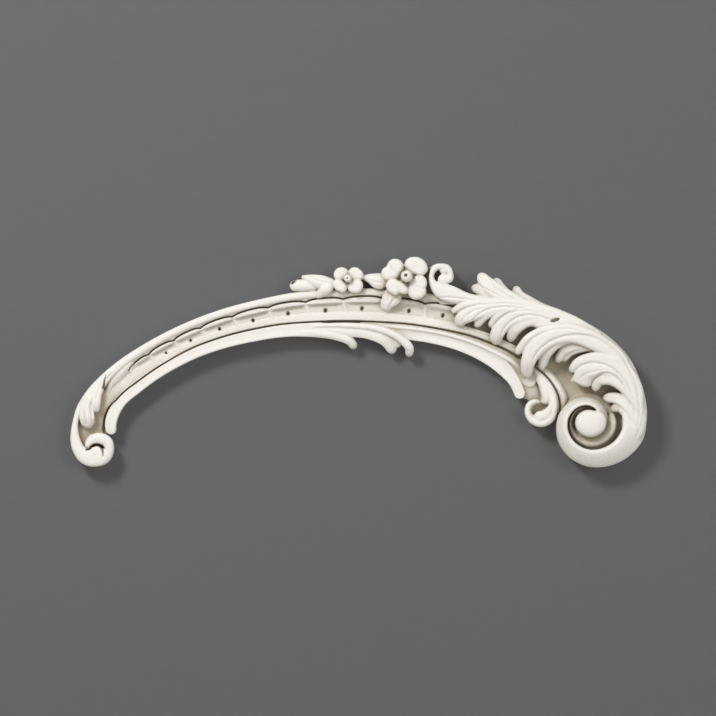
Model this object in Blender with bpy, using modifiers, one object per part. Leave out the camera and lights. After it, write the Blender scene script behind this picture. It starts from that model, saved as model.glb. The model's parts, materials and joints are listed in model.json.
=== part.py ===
"""A rococo ceiling moulding, cast in one piece of plaster.

An arched rail with a row of hollow scallops has a small scroll at its left end, two flowers on its crown
and a large acanthus leaf at its right end, which rolls into a volute. The carving is drawn flat, on a grid
of drawing units with x to the right and y down, and its heights are drawing units out from the wall.
It hangs on its flat back, with its face towards -Y. Blender 4.5, metres, +Z up.
"""

import math

import bmesh
import bpy
import numpy as np
from mathutils import Matrix

# Driving sizes, in metres
LENGTH = 0.600  # across the whole moulding, from the small scroll to the leaf's outer edge
RELIEF = 0.038  # from the wall to the highest carving
PLATE = 0.0068  # thickness of the plain ground that the carving stands on
SCALLOP_HOLLOW = 0.0060  # how deep a full-size scallop is hollowed below its ridges
EYE_RADIUS = 0.0024  # of the drilled eye in a full-size scallop, along the arch
EYE_DEPTH = 0.0050
FLOWER_EYE_RADIUS = 0.0018  # of the drilled eye in the large flower's heart
FLOWER_EYE_DEPTH = 0.0050
SMALL_FLOWER_EYE_RADIUS = 0.0012
SMALL_FLOWER_EYE_DEPTH = 0.0030
SLIT_LENGTH = 0.0096  # of the slit between the large leaf's upper lobes
SLIT_WIDTH = 0.0036
SLIT_DEPTH = 0.0060
BUD_MOUTH_LENGTH = 0.0066  # of the dark mouth of the rolled bud
BUD_MOUTH_WIDTH = 0.0029
BUD_MOUTH_DEPTH = 0.0025

# The drawing
DRAWN_LENGTH = 576.5  # the moulding's length in drawing units
DRAWN_RELIEF = 36.5  # the highest carving in drawing units
ORIGIN = (358.0, 308.0)  # the drawing's point that lies at the model's origin, behind the crown of the arch
UNIT = LENGTH / DRAWN_LENGTH
HEIGHT_UNIT = RELIEF / DRAWN_RELIEF
GROUND = PLATE / HEIGHT_UNIT  # height of the plain ground in drawing units
FOOT = -4.0  # every shape reaches this far behind the wall, and the back is then cut flat

# How finely it is made
STEP = 2.0  # drawing units between two sections of a shape
ACROSS = 11  # points across a section
VOXEL = 0.0008  # grid on which the shapes are fused
TRIANGLES = 9300  # what the fused solid is thinned to, before its back is cut

# Sections of the carved bands: how far the edges lie below the crest and how round the slope is
BLADE = {"drop": (3.4, 3.4), "power": 2.4, "soft": 1.25}
PETAL = {"drop": (5.0, 5.0), "power": 2.2, "soft": 1.8, "foot_width": 0.8}

PLASTER_COLOUR = (0.83, 0.80, 0.74, 1.0)
PLASTER_ROUGHNESS = 0.62


def clear_scene():
    for obj in list(bpy.data.objects):
        bpy.data.objects.remove(obj)


def smooth_step(value):
    value = np.clip(value, 0.0, 1.0)
    return value * value * (3.0 - 2.0 * value)


def flow(stations, along):
    """Rows read from one smooth curve through the stations, at the given distances along it."""
    knots = np.array(stations, float)
    chords = np.linalg.norm(np.diff(knots[:, :2], axis=0), axis=1)
    at = np.concatenate([[0.0], np.cumsum(chords)])
    slopes = np.gradient(knots, at, axis=0)
    piece = np.clip(np.searchsorted(at, along, side="right") - 1, 0, len(at) - 2)
    span = (at[piece + 1] - at[piece])[:, None]
    t = (along[:, None] - at[piece][:, None]) / span
    return (
        (2 * t**3 - 3 * t**2 + 1) * knots[piece]
        + (t**3 - 2 * t**2 + t) * span * slopes[piece]
        + (3 * t**2 - 2 * t**3) * knots[piece + 1]
        + (t**3 - t**2) * span * slopes[piece + 1]
    )


def length_of(stations):
    knots = np.array(stations, float)[:, :2]
    return float(np.linalg.norm(np.diff(knots, axis=0), axis=1).sum())


def sides_of(rows):
    """The unit vectors across a path, to its left as it is followed with y down."""
    ahead = np.gradient(rows[:, :2], axis=0)
    ahead /= np.maximum(np.linalg.norm(ahead, axis=1), 1e-9)[:, None]
    return np.stack([ahead[:, 1], -ahead[:, 0]], axis=1)


def place(x, y, height):
    """The model's coordinates of a point of the drawing."""
    return ((x - ORIGIN[0]) * UNIT, -height * HEIGHT_UNIT, (ORIGIN[1] - y) * UNIT)


def block(bm, top, bottom):
    """A closed solid between two grids of points in drawing units."""
    rows, columns = top.shape[:2]
    upper = [[bm.verts.new(place(*point)) for point in row] for row in top]
    lower = [[bm.verts.new(place(*point)) for point in row] for row in bottom]
    for i in range(rows - 1):
        for j in range(columns - 1):
            bm.faces.new((upper[i][j], upper[i][j + 1], upper[i + 1][j + 1], upper[i + 1][j]))
            bm.faces.new((lower[i][j], lower[i + 1][j], lower[i + 1][j + 1], lower[i][j + 1]))
    rim = [(i, 0) for i in range(rows)]
    rim += [(rows - 1, j) for j in range(1, columns)]
    rim += [(i, columns - 1) for i in range(rows - 2, -1, -1)]
    rim += [(0, j) for j in range(columns - 2, 0, -1)]
    for (i, j), (k, m) in zip(rim, rim[1:] + rim[:1]):
        bm.faces.new((upper[i][j], upper[k][m], lower[k][m], lower[i][j]))


def rib(
    bm,
    stations,
    drop=(2.0, 2.0),
    crest=0.0,
    power=2.0,
    soft=1.0,
    hollow=0.0,
    ends=(True, True),
    blunt=1.0,
    foot_width=0.9,
):
    """A carved band that follows a path. A station is x, y, half width, height of the crest.

    drop is how far each edge lies below the crest, left and right. crest is where the highest line lies
    across the band, from -1 to 1. power and soft shape the slope: soft 1 leaves a crisp edge and 2 a round
    one. hollow sinks the middle, ends says which ends are rounded to a nose, and blunt is the nose's length
    in half widths.
    """
    total = length_of(stations)
    noses = [
        min(stations[end][2] * blunt, 0.48 * total) if rounded else 0.0
        for end, rounded in zip((0, -1), ends)
    ]
    turn = np.sin(np.linspace(0.0, math.pi / 2, 7)[1:])
    along = np.linspace(noses[0], total - noses[1], max(3, int(total / STEP) + 2))
    if ends[0]:
        along = np.concatenate([noses[0] * (1 - turn[::-1]), along])
    if ends[1]:
        along = np.concatenate([along, total - noses[1] * (1 - turn)])
    along = np.unique(np.clip(along, 0.0, total))
    rows = flow(stations, along)
    nose = np.zeros(len(along))
    if ends[0]:
        nose = np.maximum(nose, 1 - along / noses[0])
    if ends[1]:
        nose = np.maximum(nose, 1 - (total - along) / noses[1])
    nose = np.clip(nose, 0.0, 0.998)
    half = rows[:, 2] * np.sqrt(1 - nose**2)
    sides = sides_of(rows)
    across = np.sin(np.linspace(-math.pi / 2, math.pi / 2, ACROSS))
    from_crest = np.where(across < crest, (crest - across) / (1 + crest), (across - crest) / (1 - crest))
    fall = np.where(across < crest, drop[1], drop[0])
    radius = np.sqrt(nose[:, None] ** 2 + from_crest[None, :] ** 2 * (1 - nose[:, None] ** 2))
    slope = 1 - np.maximum(1 - radius**power, 0.0) ** (1 / soft)
    height = rows[:, 3][:, None] - fall[None, :] * slope - hollow * np.maximum(1 - radius**2, 0.0) ** 1.5
    shift = half[:, None] * across[None, :]
    top = np.stack(
        [
            rows[:, 0][:, None] + sides[:, 0][:, None] * shift,
            rows[:, 1][:, None] + sides[:, 1][:, None] * shift,
            height,
        ],
        axis=2,
    )
    bottom = top.copy()
    bottom[:, :, 0] = rows[:, 0][:, None] + sides[:, 0][:, None] * shift * foot_width
    bottom[:, :, 1] = rows[:, 1][:, None] + sides[:, 1][:, None] * shift * foot_width
    bottom[:, :, 2] = FOOT
    block(bm, top, bottom)


def polar(centre, rows):
    """Stations round a centre from rows of angle, clockwise in degrees, radius, half width and height."""
    return [
        (
            centre[0] + radius * math.cos(math.radians(angle)),
            centre[1] + radius * math.sin(math.radians(angle)),
            half,
            height,
        )
        for angle, radius, half, height in rows
    ]


def dome(bm, centre, radius, height, drop):
    """A round boss: a short cylinder with a flattened ball on it, whose cap is drop high."""
    shoulder = height - drop
    turned = Matrix.Rotation(math.radians(90), 4, "X")
    middle = Matrix.Translation(place(*centre, (shoulder + FOOT) / 2))
    depth = (shoulder - FOOT) * HEIGHT_UNIT
    size = radius * UNIT
    bmesh.ops.create_cone(
        bm, cap_ends=True, segments=40, radius1=size, radius2=size, depth=depth, matrix=middle @ turned
    )
    flattened = Matrix.Diagonal((1, drop * HEIGHT_UNIT / size, 1, 1))
    ball = Matrix.Translation(place(*centre, shoulder)) @ flattened @ turned
    bmesh.ops.create_uvsphere(bm, u_segments=40, v_segments=24, radius=size, matrix=ball)


def plate(bm, outline, height):
    """A flat ground of one height inside a closed outline."""
    face = bm.faces.new([bm.verts.new(place(x, y, FOOT)) for x, y in outline])
    raised = bmesh.ops.extrude_face_region(bm, geom=[face], use_keep_orig=True)
    top = [item for item in raised["geom"] if isinstance(item, bmesh.types.BMVert)]
    bmesh.ops.translate(bm, verts=top, vec=(0, -(height - FOOT) * HEIGHT_UNIT, 0))


def ground(bm):
    """The plain ground behind the arch, the leaf and the scrolls."""
    arch = [
        (92, 445, 12, GROUND), (96, 410, 15, GROUND), (124, 380, 15, GROUND), (165, 354, 15, GROUND),
        (207, 335, 15, GROUND), (253, 321, 16, GROUND), (300, 314, 18, GROUND), (352, 312, 20, GROUND),
        (402, 315, 20, GROUND), (450, 323, 22, GROUND), (490, 335, 26, GROUND),
    ]
    rib(bm, arch, drop=(0, 0), ends=(False, False), foot_width=1.0)
    plate(bm, [
        (470, 304), (520, 306), (560, 318), (590, 332), (616, 354), (632, 380), (638, 410), (630, 438),
        (600, 458), (572, 448), (562, 428), (560, 410), (545, 400), (520, 388), (500, 368), (470, 352),
    ], GROUND)
    plate(bm, [(424, 268), (434, 266), (446, 268), (450, 276), (444, 300), (418, 300), (414, 284)], GROUND)
    plate(bm, [(343, 272), (352, 272), (353, 300), (342, 300)], GROUND)
    plate(bm, [(400, 268), (413, 268), (420, 282), (412, 298), (392, 296)], GROUND)


def arch_rails(bm):
    """The round outer rail, which broadens into the small scroll's rim, the fillet and the inner rail."""
    outer = [
        (462, 303, 3.6, 17), (430, 297.2, 3.6, 17.5), (405, 293.8, 3.6, 18), (370, 292.6, 3.6, 18.5),
        (340, 293.3, 3.4, 19), (320, 293.8, 3.4, 19), (300.4, 295.5, 3.3, 19), (260.7, 302.8, 3.3, 19),
        (221.1, 313.3, 3.3, 19), (181.4, 328.7, 3.3, 19), (142, 349.8, 3.6, 19), (122.6, 363.0, 4.0, 19),
        (109.6, 373.6, 4.3, 19), (88.6, 395.4, 4.3, 19), (80.3, 408, 3.7, 19), (75.7, 421, 2.8, 19),
        (74.7, 431, 3.8, 19.5), (75.7, 441, 5.2, 20), (79.4, 450.3, 7.4, 20.5), (86.5, 457, 8.6, 21),
        (94, 459.0, 8.0, 21), (101.5, 457, 6.5, 20),
    ]
    rib(bm, outer, drop=(3.6, 3.6), soft=1.8, ends=(False, True))
    fillet = [
        (98.6, 431, 3.8, 9.0), (99.8, 419, 4.0, 9.6), (104.4, 407.6, 4.0, 10.6), (112.8, 397.0, 3.9, 12),
        (122.2, 387.6, 3.6, 13), (149.5, 366.8, 3.1, 13.6), (173.1, 353.8, 3.1, 13.8),
        (189.6, 346.1, 3.1, 13.8), (218.4, 335.3, 3.1, 13.8), (247.7, 327.1, 3.1, 13.8),
        (280.2, 321.2, 3.2, 13.8), (311.5, 317.9, 3.3, 13.8), (350, 316.4, 3.3, 13.8),
        (400, 319.2, 3.4, 13.8), (450, 326.9, 3.5, 13.8), (490, 338.6, 3.6, 13.8), (518, 352, 3.6, 13.8),
    ]
    rib(bm, fillet, drop=(0.4, 0.8), power=5, ends=(True, False), foot_width=1.0)
    inner = [
        (111.4, 434.4, 4.8, 16), (110.8, 425, 5.0, 17), (113.6, 415, 5.0, 17), (121.2, 402.8, 4.5, 17),
        (136.4, 389.6, 4.2, 17), (155.9, 375.1, 4.2, 17), (178.1, 362.2, 4.2, 17),
        (194.1, 354.4, 4.2, 17), (222, 344.5, 4.3, 17), (250.4, 337.3, 4.9, 17), (282, 331.8, 5.4, 17),
        (312, 330.1, 6.3, 16.6), (334, 331.2, 6.0, 15.6),
    ]
    rib(bm, inner, drop=(0.4, 0.8), power=5, ends=(True, False), hollow=0.7, foot_width=1.0)


def arch_leaves(bm):
    """The two leaf ends that the inner rail breaks into, and the rail that comes out from behind them."""
    rib(bm, [
        (290, 333, 4.4, 16.4), (318, 333.4, 4.2, 16.8), (338, 336.4, 4.2, 16.6),
        (349.6, 340.8, 4.6, 15.6), (355.6, 348.4, 3.8, 12),
    ], drop=(1.8, 1.8))
    rib(bm, [
        (322, 325.4, 1.8, 17), (345, 325.2, 2.6, 18.4), (365, 326.6, 2.8, 19), (385, 331, 3.1, 19.6),
        (401, 339.6, 3.3, 19), (410, 349, 3.6, 17), (408.4, 357.4, 3.2, 12),
    ], drop=(2.2, 2.2), soft=1.6)
    rib(bm, [
        (320, 330.2, 5.0, 16.4), (350, 331.0, 5.4, 17), (370, 333.4, 5.8, 17.6), (386, 340.4, 6.2, 16.6),
        (394.8, 353.3, 4.6, 12),
    ], drop=(1.6, 1.6))
    rib(bm, [
        (352, 329.4, 3.0, 16.6), (375, 333, 4.4, 17.6), (392, 340.0, 5.0, 17.0), (403, 348.6, 4.4, 14.6),
        (406.6, 356.4, 3.6, 12),
    ], drop=(1.4, 1.4))
    rib(bm, [
        (365, 325.2, 1.5, 15.6), (395, 327.0, 1.6, 16), (430, 331.2, 1.7, 16.4), (462, 338.7, 1.8, 16.6),
        (492, 350.8, 2.0, 16.6), (514, 363, 2.2, 16.4), (528, 377, 2.2, 13),
    ], drop=(1.4, 1.4), soft=2.0)
    rib(bm, [
        (375, 331.2, 5.3, 15.2), (405, 333.9, 5.5, 15.2), (435, 338.2, 5.8, 15.2),
        (462, 345.6, 6.1, 15.2), (487, 357.0, 6.6, 15.2), (504, 369.2, 6.8, 15.2),
        (514.5, 382, 5.6, 15.4), (521.6, 398.4, 5.2, 14),
    ], drop=(0.5, 0.9), hollow=0.9, power=3, foot_width=1.0)
    rib(bm, [
        (500, 362, 6, 12.5), (518, 376, 9, 11.5), (531, 392, 8, 9.0), (536, 402, 5, 7.5),
    ], drop=(0.5, 0.5), foot_width=1.0)


LIP = [  # the upper edge of the row of scallops: x, y, reach down to the fillet, height of the fillet
    (108, 389, 9.5, 12.5), (128, 370.0, 10.0, 13.2), (148, 353.6, 10.4, 13.5), (173, 339.6, 11.0, 13.5),
    (200, 327.2, 11.6, 13.5), (232, 316.0, 12.4, 13.5), (268, 307.0, 13.6, 13.5), (305, 301.4, 15.0, 13.5),
    (343, 298.4, 16.6, 13.5), (384, 297.8, 17.8, 13.5), (425, 302.0, 18.0, 13.5), (462, 308.0, 18.0, 13.5),
]
# x of the ridges between the scallops
NOTCHES = [112, 128, 148, 173, 200, 232, 268, 305, 343, 386, 426, 459]
FIRST_EYE = 2  # the first scallops are too small for an eye
FULL_REACH = 18.0


def along_of(x):
    """Distance along the scallops' upper edge of a point at this x."""
    knots = np.array(LIP, float)
    at = np.concatenate([[0.0], np.cumsum(np.linalg.norm(np.diff(knots[:, :2], axis=0), axis=1))])
    return float(np.interp(x, knots[:, 0], at))


def scallops(bm):
    """A row of hollow shells, which grow from left to right."""
    for left, right in zip(NOTCHES[:-1], NOTCHES[1:]):
        start, end = along_of(left), along_of(right)
        count = max(11, int((end - start) / STEP) | 1)
        rows = flow(LIP, np.linspace(start, end, count))
        sides = sides_of(rows)
        u = np.linspace(-1.0, 1.0, count)[:, None]
        v = np.linspace(0.0, 1.0, ACROSS + 6)[None, :]  # 0 at the upper edge, 1 at the fillet
        reach = rows[:, 2][:, None]
        growth = reach / FULL_REACH
        dip = 2.6 * growth * np.abs(u) ** 3.2
        bowl = (1 - np.abs(u) ** 2.6) * np.sin(math.pi * np.clip(v, 0, 1) ** 0.75) ** 0.8
        rise = 5.0 * (1 - v) ** 1.3
        lip = 2.4 * smooth_step((0.10 - v) / 0.10)
        height = rows[:, 3][:, None] + rise * (0.6 + 0.4 * growth) - lip
        height = height - SCALLOP_HOLLOW / HEIGHT_UNIT * growth * bowl
        shift = dip + (reach - dip) * v
        top = np.stack(
            [
                rows[:, 0][:, None] - sides[:, 0][:, None] * shift,
                rows[:, 1][:, None] - sides[:, 1][:, None] * shift,
                height,
            ],
            axis=2,
        )
        bottom = top.copy()
        bottom[:, :, 2] = FOOT
        block(bm, top, bottom)


def drilled_eyes():
    """The drilled eyes and slits: x, y, direction of the long axis, half length, half width and depth."""
    eyes = []
    for left, right in list(zip(NOTCHES[:-1], NOTCHES[1:]))[FIRST_EYE:]:
        centre = (along_of(left) + along_of(right)) / 2
        middle = flow(LIP, np.array([centre - 1.0, centre, centre + 1.0]))
        side = sides_of(middle)[1]
        x, y, reach, _ = middle[1]
        inward = 5.2 + 0.4 * reach
        radius = EYE_RADIUS / UNIT * (0.35 + 0.65 * reach / FULL_REACH)
        angle = math.degrees(math.atan2(side[1], side[0]))
        eyes.append((x - side[0] * inward, y - side[1] * inward, angle, radius * 1.35, radius, EYE_DEPTH))
    radius, small_radius = FLOWER_EYE_RADIUS / UNIT, SMALL_FLOWER_EYE_RADIUS / UNIT
    eyes.append((405.6, 275.6, 0, radius, radius, FLOWER_EYE_DEPTH))
    eyes.append((347.3, 278.3, 0, small_radius, small_radius, SMALL_FLOWER_EYE_DEPTH))
    eyes.append((554.6, 320.2, -16, SLIT_LENGTH / 2 / UNIT, SLIT_WIDTH / 2 / UNIT, SLIT_DEPTH))
    eyes.append(
        (293.6, 282.2, -38, BUD_MOUTH_LENGTH / 2 / UNIT, BUD_MOUTH_WIDTH / 2 / UNIT, BUD_MOUTH_DEPTH)
    )
    return eyes


def left_scroll(bm):
    """The hook of the small scroll at the left end, and the leaf tips above it."""
    rib(bm, [(86, 458, 6.0, 20.4), (93.6, 455.0, 7.0, 21), (98.2, 449, 4.6, 20.6), (97.2, 444.6, 3.6, 19)],
        drop=(3.0, 3.0), soft=1.6)
    rib(bm, [
        (96, 459.6, 5.6, 19.6), (104.6, 457.2, 6.0, 20.5), (109.0, 449.6, 5.2, 21),
        (106.8, 442.0, 5.0, 21), (99.8, 438.4, 5.0, 20.5), (92.8, 439.8, 4.4, 20), (88.8, 444.2, 3.3, 19),
        (88.6, 450.2, 2.5, 17),
    ], drop=(4.4, 3.6), soft=1.7)
    dome(bm, (97, 449), 13, 10.0, 0.5)
    dome(bm, (98.4, 456.6), 9.4, 19.8, 3.5)
    for stations in (
        [
            (134, 358.4, 3.0, 17.5), (124, 366.6, 4.6, 18.6), (113.6, 379, 5.4, 18.4),
            (107.4, 392.0, 3.4, 13.6),
        ],
        [
            (106, 375, 2.6, 18.6), (99.4, 387, 3.6, 20), (96.0, 398, 4.0, 20.4), (95.6, 406, 3.9, 19.5),
            (96.8, 412.2, 2.8, 16),
        ],
        [
            (97, 385, 3.6, 19.4), (89.6, 398, 5.2, 20.2), (84.8, 409, 6.0, 20.4), (85.0, 419, 5.8, 20),
            (89.4, 428.4, 4.2, 15),
        ],
        [(94, 394, 2.6, 19.8), (90.4, 404, 3.2, 20.8), (90.0, 413, 3.6, 20.8), (92.6, 424.0, 3.3, 17)],
    ):
        rib(bm, stations, **{**BLADE, "drop": (3.0, 3.0)})


def large_volute(bm):
    """The volute that the leaf rolls into: a rail that winds in to a round boss, and a bead beside it."""
    centre = (588.0, 423.0)
    rail = polar(
        centre,
        [
            (-40, 45.0, 7.0, 27), (-15, 44.0, 9.0, 28.5), (10, 43.6, 9.6, 29.5), (40, 41.4, 10.2, 30.5),
            (65, 37.8, 9.4, 31), (90, 34.8, 8.5, 31), (115, 31.8, 7.6, 30.6), (140, 29.0, 6.5, 30),
            (165, 27.0, 5.4, 29.4), (195, 25.6, 4.7, 28.6), (230, 24.2, 4.1, 27.6), (270, 22.7, 3.5, 27),
            (305, 20.4, 3.3, 27), (340, 17.2, 3.4, 27.4), (375, 14.0, 3.6, 27.8), (410, 11.0, 3.6, 28),
        ],
    )
    rib(bm, rail, drop=(9.0, 2.0), crest=-0.72, power=1.35, soft=1.1, foot_width=1.0)
    bead = polar(
        centre,
        [
            (-34, 27.0, 2.6, 18), (-12, 25.4, 4.2, 19.5), (15, 23.4, 4.8, 20.5), (45, 21.2, 4.5, 20.8),
            (90, 18.9, 4.1, 20.8), (135, 17.3, 2.4, 20), (180, 17.2, 1.4, 19), (230, 17.0, 1.0, 17.5),
            (265, 16.4, 0.8, 16),
        ],
    )
    rib(bm, bead, drop=(5.0, 6.0), crest=0.3, soft=1.3, foot_width=1.0)
    dome(bm, centre, 14.0, 31.0, 4.5)
    rib(bm, polar(centre, [(angle, 15.0, 15.0, 8.5) for angle in range(0, 361, 30)]), drop=(0, 0),
        ends=(False, False), foot_width=1.0)


def small_volute(bm):
    """The scroll that the inner rail of the leaf rolls into, and the leaf end beside it."""
    rib(bm, [
        (530, 366, 2.6, 13.5), (539, 376, 4.2, 15), (547, 387, 5.6, 16), (552, 398, 5.0, 17),
        (553, 408.5, 4.4, 18), (549.6, 417.6, 5.2, 18.5), (541.4, 422.4, 5.0, 18.5),
        (532.6, 419.6, 4.2, 18), (528.6, 412, 3.7, 17), (530.8, 405, 3.5, 16), (538.4, 402.6, 2.6, 13),
    ], drop=(2.6, 4.0), crest=0.2, soft=1.5, ends=(True, True))
    rib(bm, [
        (551.6, 401.0, 1.6, 17), (549.8, 407.4, 2.6, 18), (545.6, 413.2, 4.0, 18.8),
        (538.6, 416.4, 4.8, 18.6), (532.2, 418.0, 3.2, 16.5),
    ], drop=(3.0, 3.0), soft=1.7)
    rib(bm, [
        (537, 377, 2.6, 14), (543.4, 386.6, 4.2, 16), (546.4, 396.0, 4.8, 16.4),
        (545.2, 404.6, 4.4, 14.5),
    ], drop=(2.4, 2.4), blunt=0.6)
    plate(bm, [
        (520, 385), (542, 382), (556, 396), (557, 410), (552, 420), (541, 425), (530, 421), (526, 410),
        (529, 400), (518, 397),
    ], GROUND)
    rib(bm, [
        (536, 361, 2.8, 12), (550.2, 375.0, 3.4, 14), (559.6, 387.4, 3.6, 14.5), (564.4, 398, 3.2, 14),
        (564.6, 406, 2.4, 11),
    ], drop=(5.0, 1.4), crest=-0.3)


def acanthus(bm):
    """The large leaf: lobes that leave the outer rim one after another and curl down to their tips."""
    rim = [
        (600, 458, 3.0, 24), (617, 452.4, 6.0, 26), (630.6, 440, 8.4, 27.4), (637.4, 424, 8.6, 28.4),
        (638.4, 405, 7.4, 28.8), (634, 385, 7.0, 29), (624, 363, 7.0, 29.5), (607, 344.5, 7.0, 29.8),
        (583, 328.8, 7.0, 29.8), (556, 317.2, 7.0, 29.2), (530, 307.6, 7.0, 28.4),
        (502, 302.4, 6.0, 26.6), (484, 302.0, 4.6, 25),
    ]
    rib(bm, rim, drop=(3.0, 4.0), crest=0.0, soft=1.6, foot_width=1.0)
    lobes = [
        # first lobe
        [
            (535, 305.5, 3.0, 27.4), (502, 301.8, 4.0, 26.6), (476, 303.4, 4.0, 25.6),
            (462, 306.2, 3.8, 24), (451.4, 312.8, 2.8, 19),
        ],
        [
            (570, 318, 4.0, 29.4), (522, 305.6, 7.0, 28.8), (492, 307.4, 8.0, 27.6),
            (472, 313.0, 9.0, 25.2), (460, 319.4, 7.8, 21.5), (456, 327.4, 6.4, 14),
        ],
        [
            (565, 317, 3.4, 29.2), (522, 306.6, 4.8, 28.6), (500, 308.4, 4.4, 26.6),
            (485.4, 314.6, 4.6, 23), (474.6, 327.0, 3.6, 15),
        ],
        # second lobe
        [
            (575, 322, 3.0, 30), (526, 309.6, 3.6, 28.8), (504, 311.4, 3.6, 26.8),
            (493, 317.4, 3.5, 23.8), (486.8, 328.6, 2.7, 17),
        ],
        [
            (602, 338, 5.0, 31), (566, 320.4, 7.5, 31.2), (536, 312.4, 8.6, 30.2),
            (513.5, 316.6, 9.0, 27.8), (500.4, 327, 8.6, 23.4), (495.4, 345.2, 5.2, 13),
        ],
        [
            (600, 337, 4.0, 31), (570, 323.6, 6.0, 31.2), (541, 317.4, 7.2, 29.8),
            (523, 321.6, 7.6, 26.6), (514, 330.6, 6.4, 22), (510, 342.0, 4.2, 14),
        ],
        [
            (602, 339, 4.0, 31.4), (578, 327.4, 6.0, 31.6), (554, 322.0, 7.0, 30.4),
            (537, 321.6, 6.4, 27.8), (523.8, 320.6, 5.0, 22.5),
        ],
        # third lobe
        [
            (604, 341, 3.0, 32), (574, 328.6, 4.5, 32.8), (548, 330.0, 5.0, 31.4), (529, 338.8, 5.0, 28),
            (516.2, 355.0, 3.6, 19),
        ],
        [
            (634, 384, 4.0, 30.5), (621, 357, 7.0, 33.0), (597, 340.5, 9.0, 34.4),
            (568, 333.2, 9.6, 34.8), (544, 340.0, 10.0, 32.4), (529.6, 355, 9.6, 27.4),
            (527.2, 378.4, 5.6, 14),
        ],
        [
            (624, 360, 3.6, 31), (603, 343.5, 4.6, 32.2), (577, 336.2, 5.8, 32.4), (557.6, 341, 6.4, 30),
            (546.2, 352.5, 5.8, 25.4), (540.4, 370.4, 3.4, 15),
        ],
        # fourth lobe
        [
            (622, 360, 3.0, 29.5), (602, 347.8, 3.8, 29.4), (581, 345.6, 4.4, 28),
            (564.6, 350.0, 4.6, 24.8), (556.4, 362.6, 3.6, 17.5),
        ],
        [
            (618, 357, 2.4, 29), (598, 348.6, 3.0, 28.4), (581, 348.8, 3.4, 26.6),
            (570.4, 352.0, 3.4, 23.4), (562.8, 361.6, 2.6, 17.5),
        ],
        # fifth lobe
        [
            (641, 402, 3.4, 30), (630, 374, 4.6, 32.2), (612, 359.2, 5.0, 33.2), (591, 357.8, 5.0, 31.4),
            (576.6, 364.0, 4.4, 27.4), (570.4, 373.2, 3.2, 21),
        ],
        [
            (641, 420, 3.4, 29.4), (635.6, 392, 7.6, 32), (619, 370, 10.0, 33.4),
            (599, 364.4, 10.8, 32.4), (584, 373, 10.4, 27.4), (578.4, 387.4, 7.6, 17),
        ],
        [
            (640, 428, 3.0, 29.0), (637.6, 407, 6.0, 31), (625.6, 387, 7.4, 31.8),
            (609, 378.2, 6.6, 30.4), (598.4, 380.8, 5.2, 26.4), (593.8, 391.4, 3.7, 19),
        ],
        # sixth lobe
        [
            (636, 438, 3.0, 28.0), (636, 422, 5.6, 29.6), (630, 407.6, 7.0, 29.2),
            (618, 398.6, 5.6, 26.8), (602.8, 398.2, 3.7, 20),
        ],
        [
            (631, 442, 3.0, 27.0), (633.6, 428, 5.0, 28.6), (628.6, 415, 6.0, 27.4),
            (619.4, 407.8, 4.8, 24.4), (610.2, 410.0, 3.5, 19),
        ],
    ]
    for stations in lobes:
        rib(bm, stations, **BLADE, foot_width=0.88)


def upper_leaf(bm):
    """The leaf tips on the back of the large leaf, and its stem with the curl at its end."""
    for stations in (
        [
            (545, 309, 4.0, 26.6), (516, 300.6, 6.4, 26.4), (500, 293, 7.6, 25.8),
            (487.6, 285.6, 7.4, 23.6), (476.6, 275.2, 5.6, 17),
        ],
        [
            (528, 304, 4.0, 25.6), (506, 298.4, 5.8, 24.8), (491, 293.2, 6.4, 23),
            (481, 289.8, 5.8, 20.5), (471.8, 287.0, 4.4, 16),
        ],
        [
            (545, 309, 4.0, 27), (519, 301.4, 5.0, 26), (504, 294.6, 5.0, 24.8), (497.4, 287, 5.0, 22),
            (493.0, 278.6, 4.4, 17.5),
        ],
        [
            (562, 316, 4.0, 28), (541, 308.2, 5.0, 27.2), (527.6, 301, 4.8, 25.6),
            (518.4, 294.2, 4.2, 22), (514.4, 286.4, 4.0, 17.5),
        ],
    ):
        rib(bm, stations, **BLADE, foot_width=0.88)
    rib(bm, [(500, 302, 4.6, 25), (474, 299.6, 4.6, 25), (455, 298.4, 5.8, 23.5), (437.6, 300.0, 5.0, 17)],
        drop=(3.0, 3.0))
    rib(bm, [
        (488, 300.8, 3.8, 24.6), (468, 298.4, 5.2, 24.8), (451, 294.2, 8.4, 25),
        (438.4, 287.6, 8.6, 24.6), (432.2, 279.2, 3.9, 24), (433.0, 271.6, 3.4, 23.6),
        (437.8, 266.6, 3.4, 23.6), (444.6, 266.6, 3.6, 24), (449.2, 271.6, 3.8, 24),
        (449.0, 277.6, 4.2, 24), (444.4, 280.6, 3.8, 24), (438.6, 280.4, 3.4, 23),
    ], drop=(4.0, 4.0), soft=1.8)
    rib(bm, [
        (448, 267.4, 3.0, 23.5), (445.4, 271.0, 3.6, 22.6), (440.4, 273.2, 3.0, 20.5),
    ], drop=(2.4, 2.4), soft=1.6)


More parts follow.
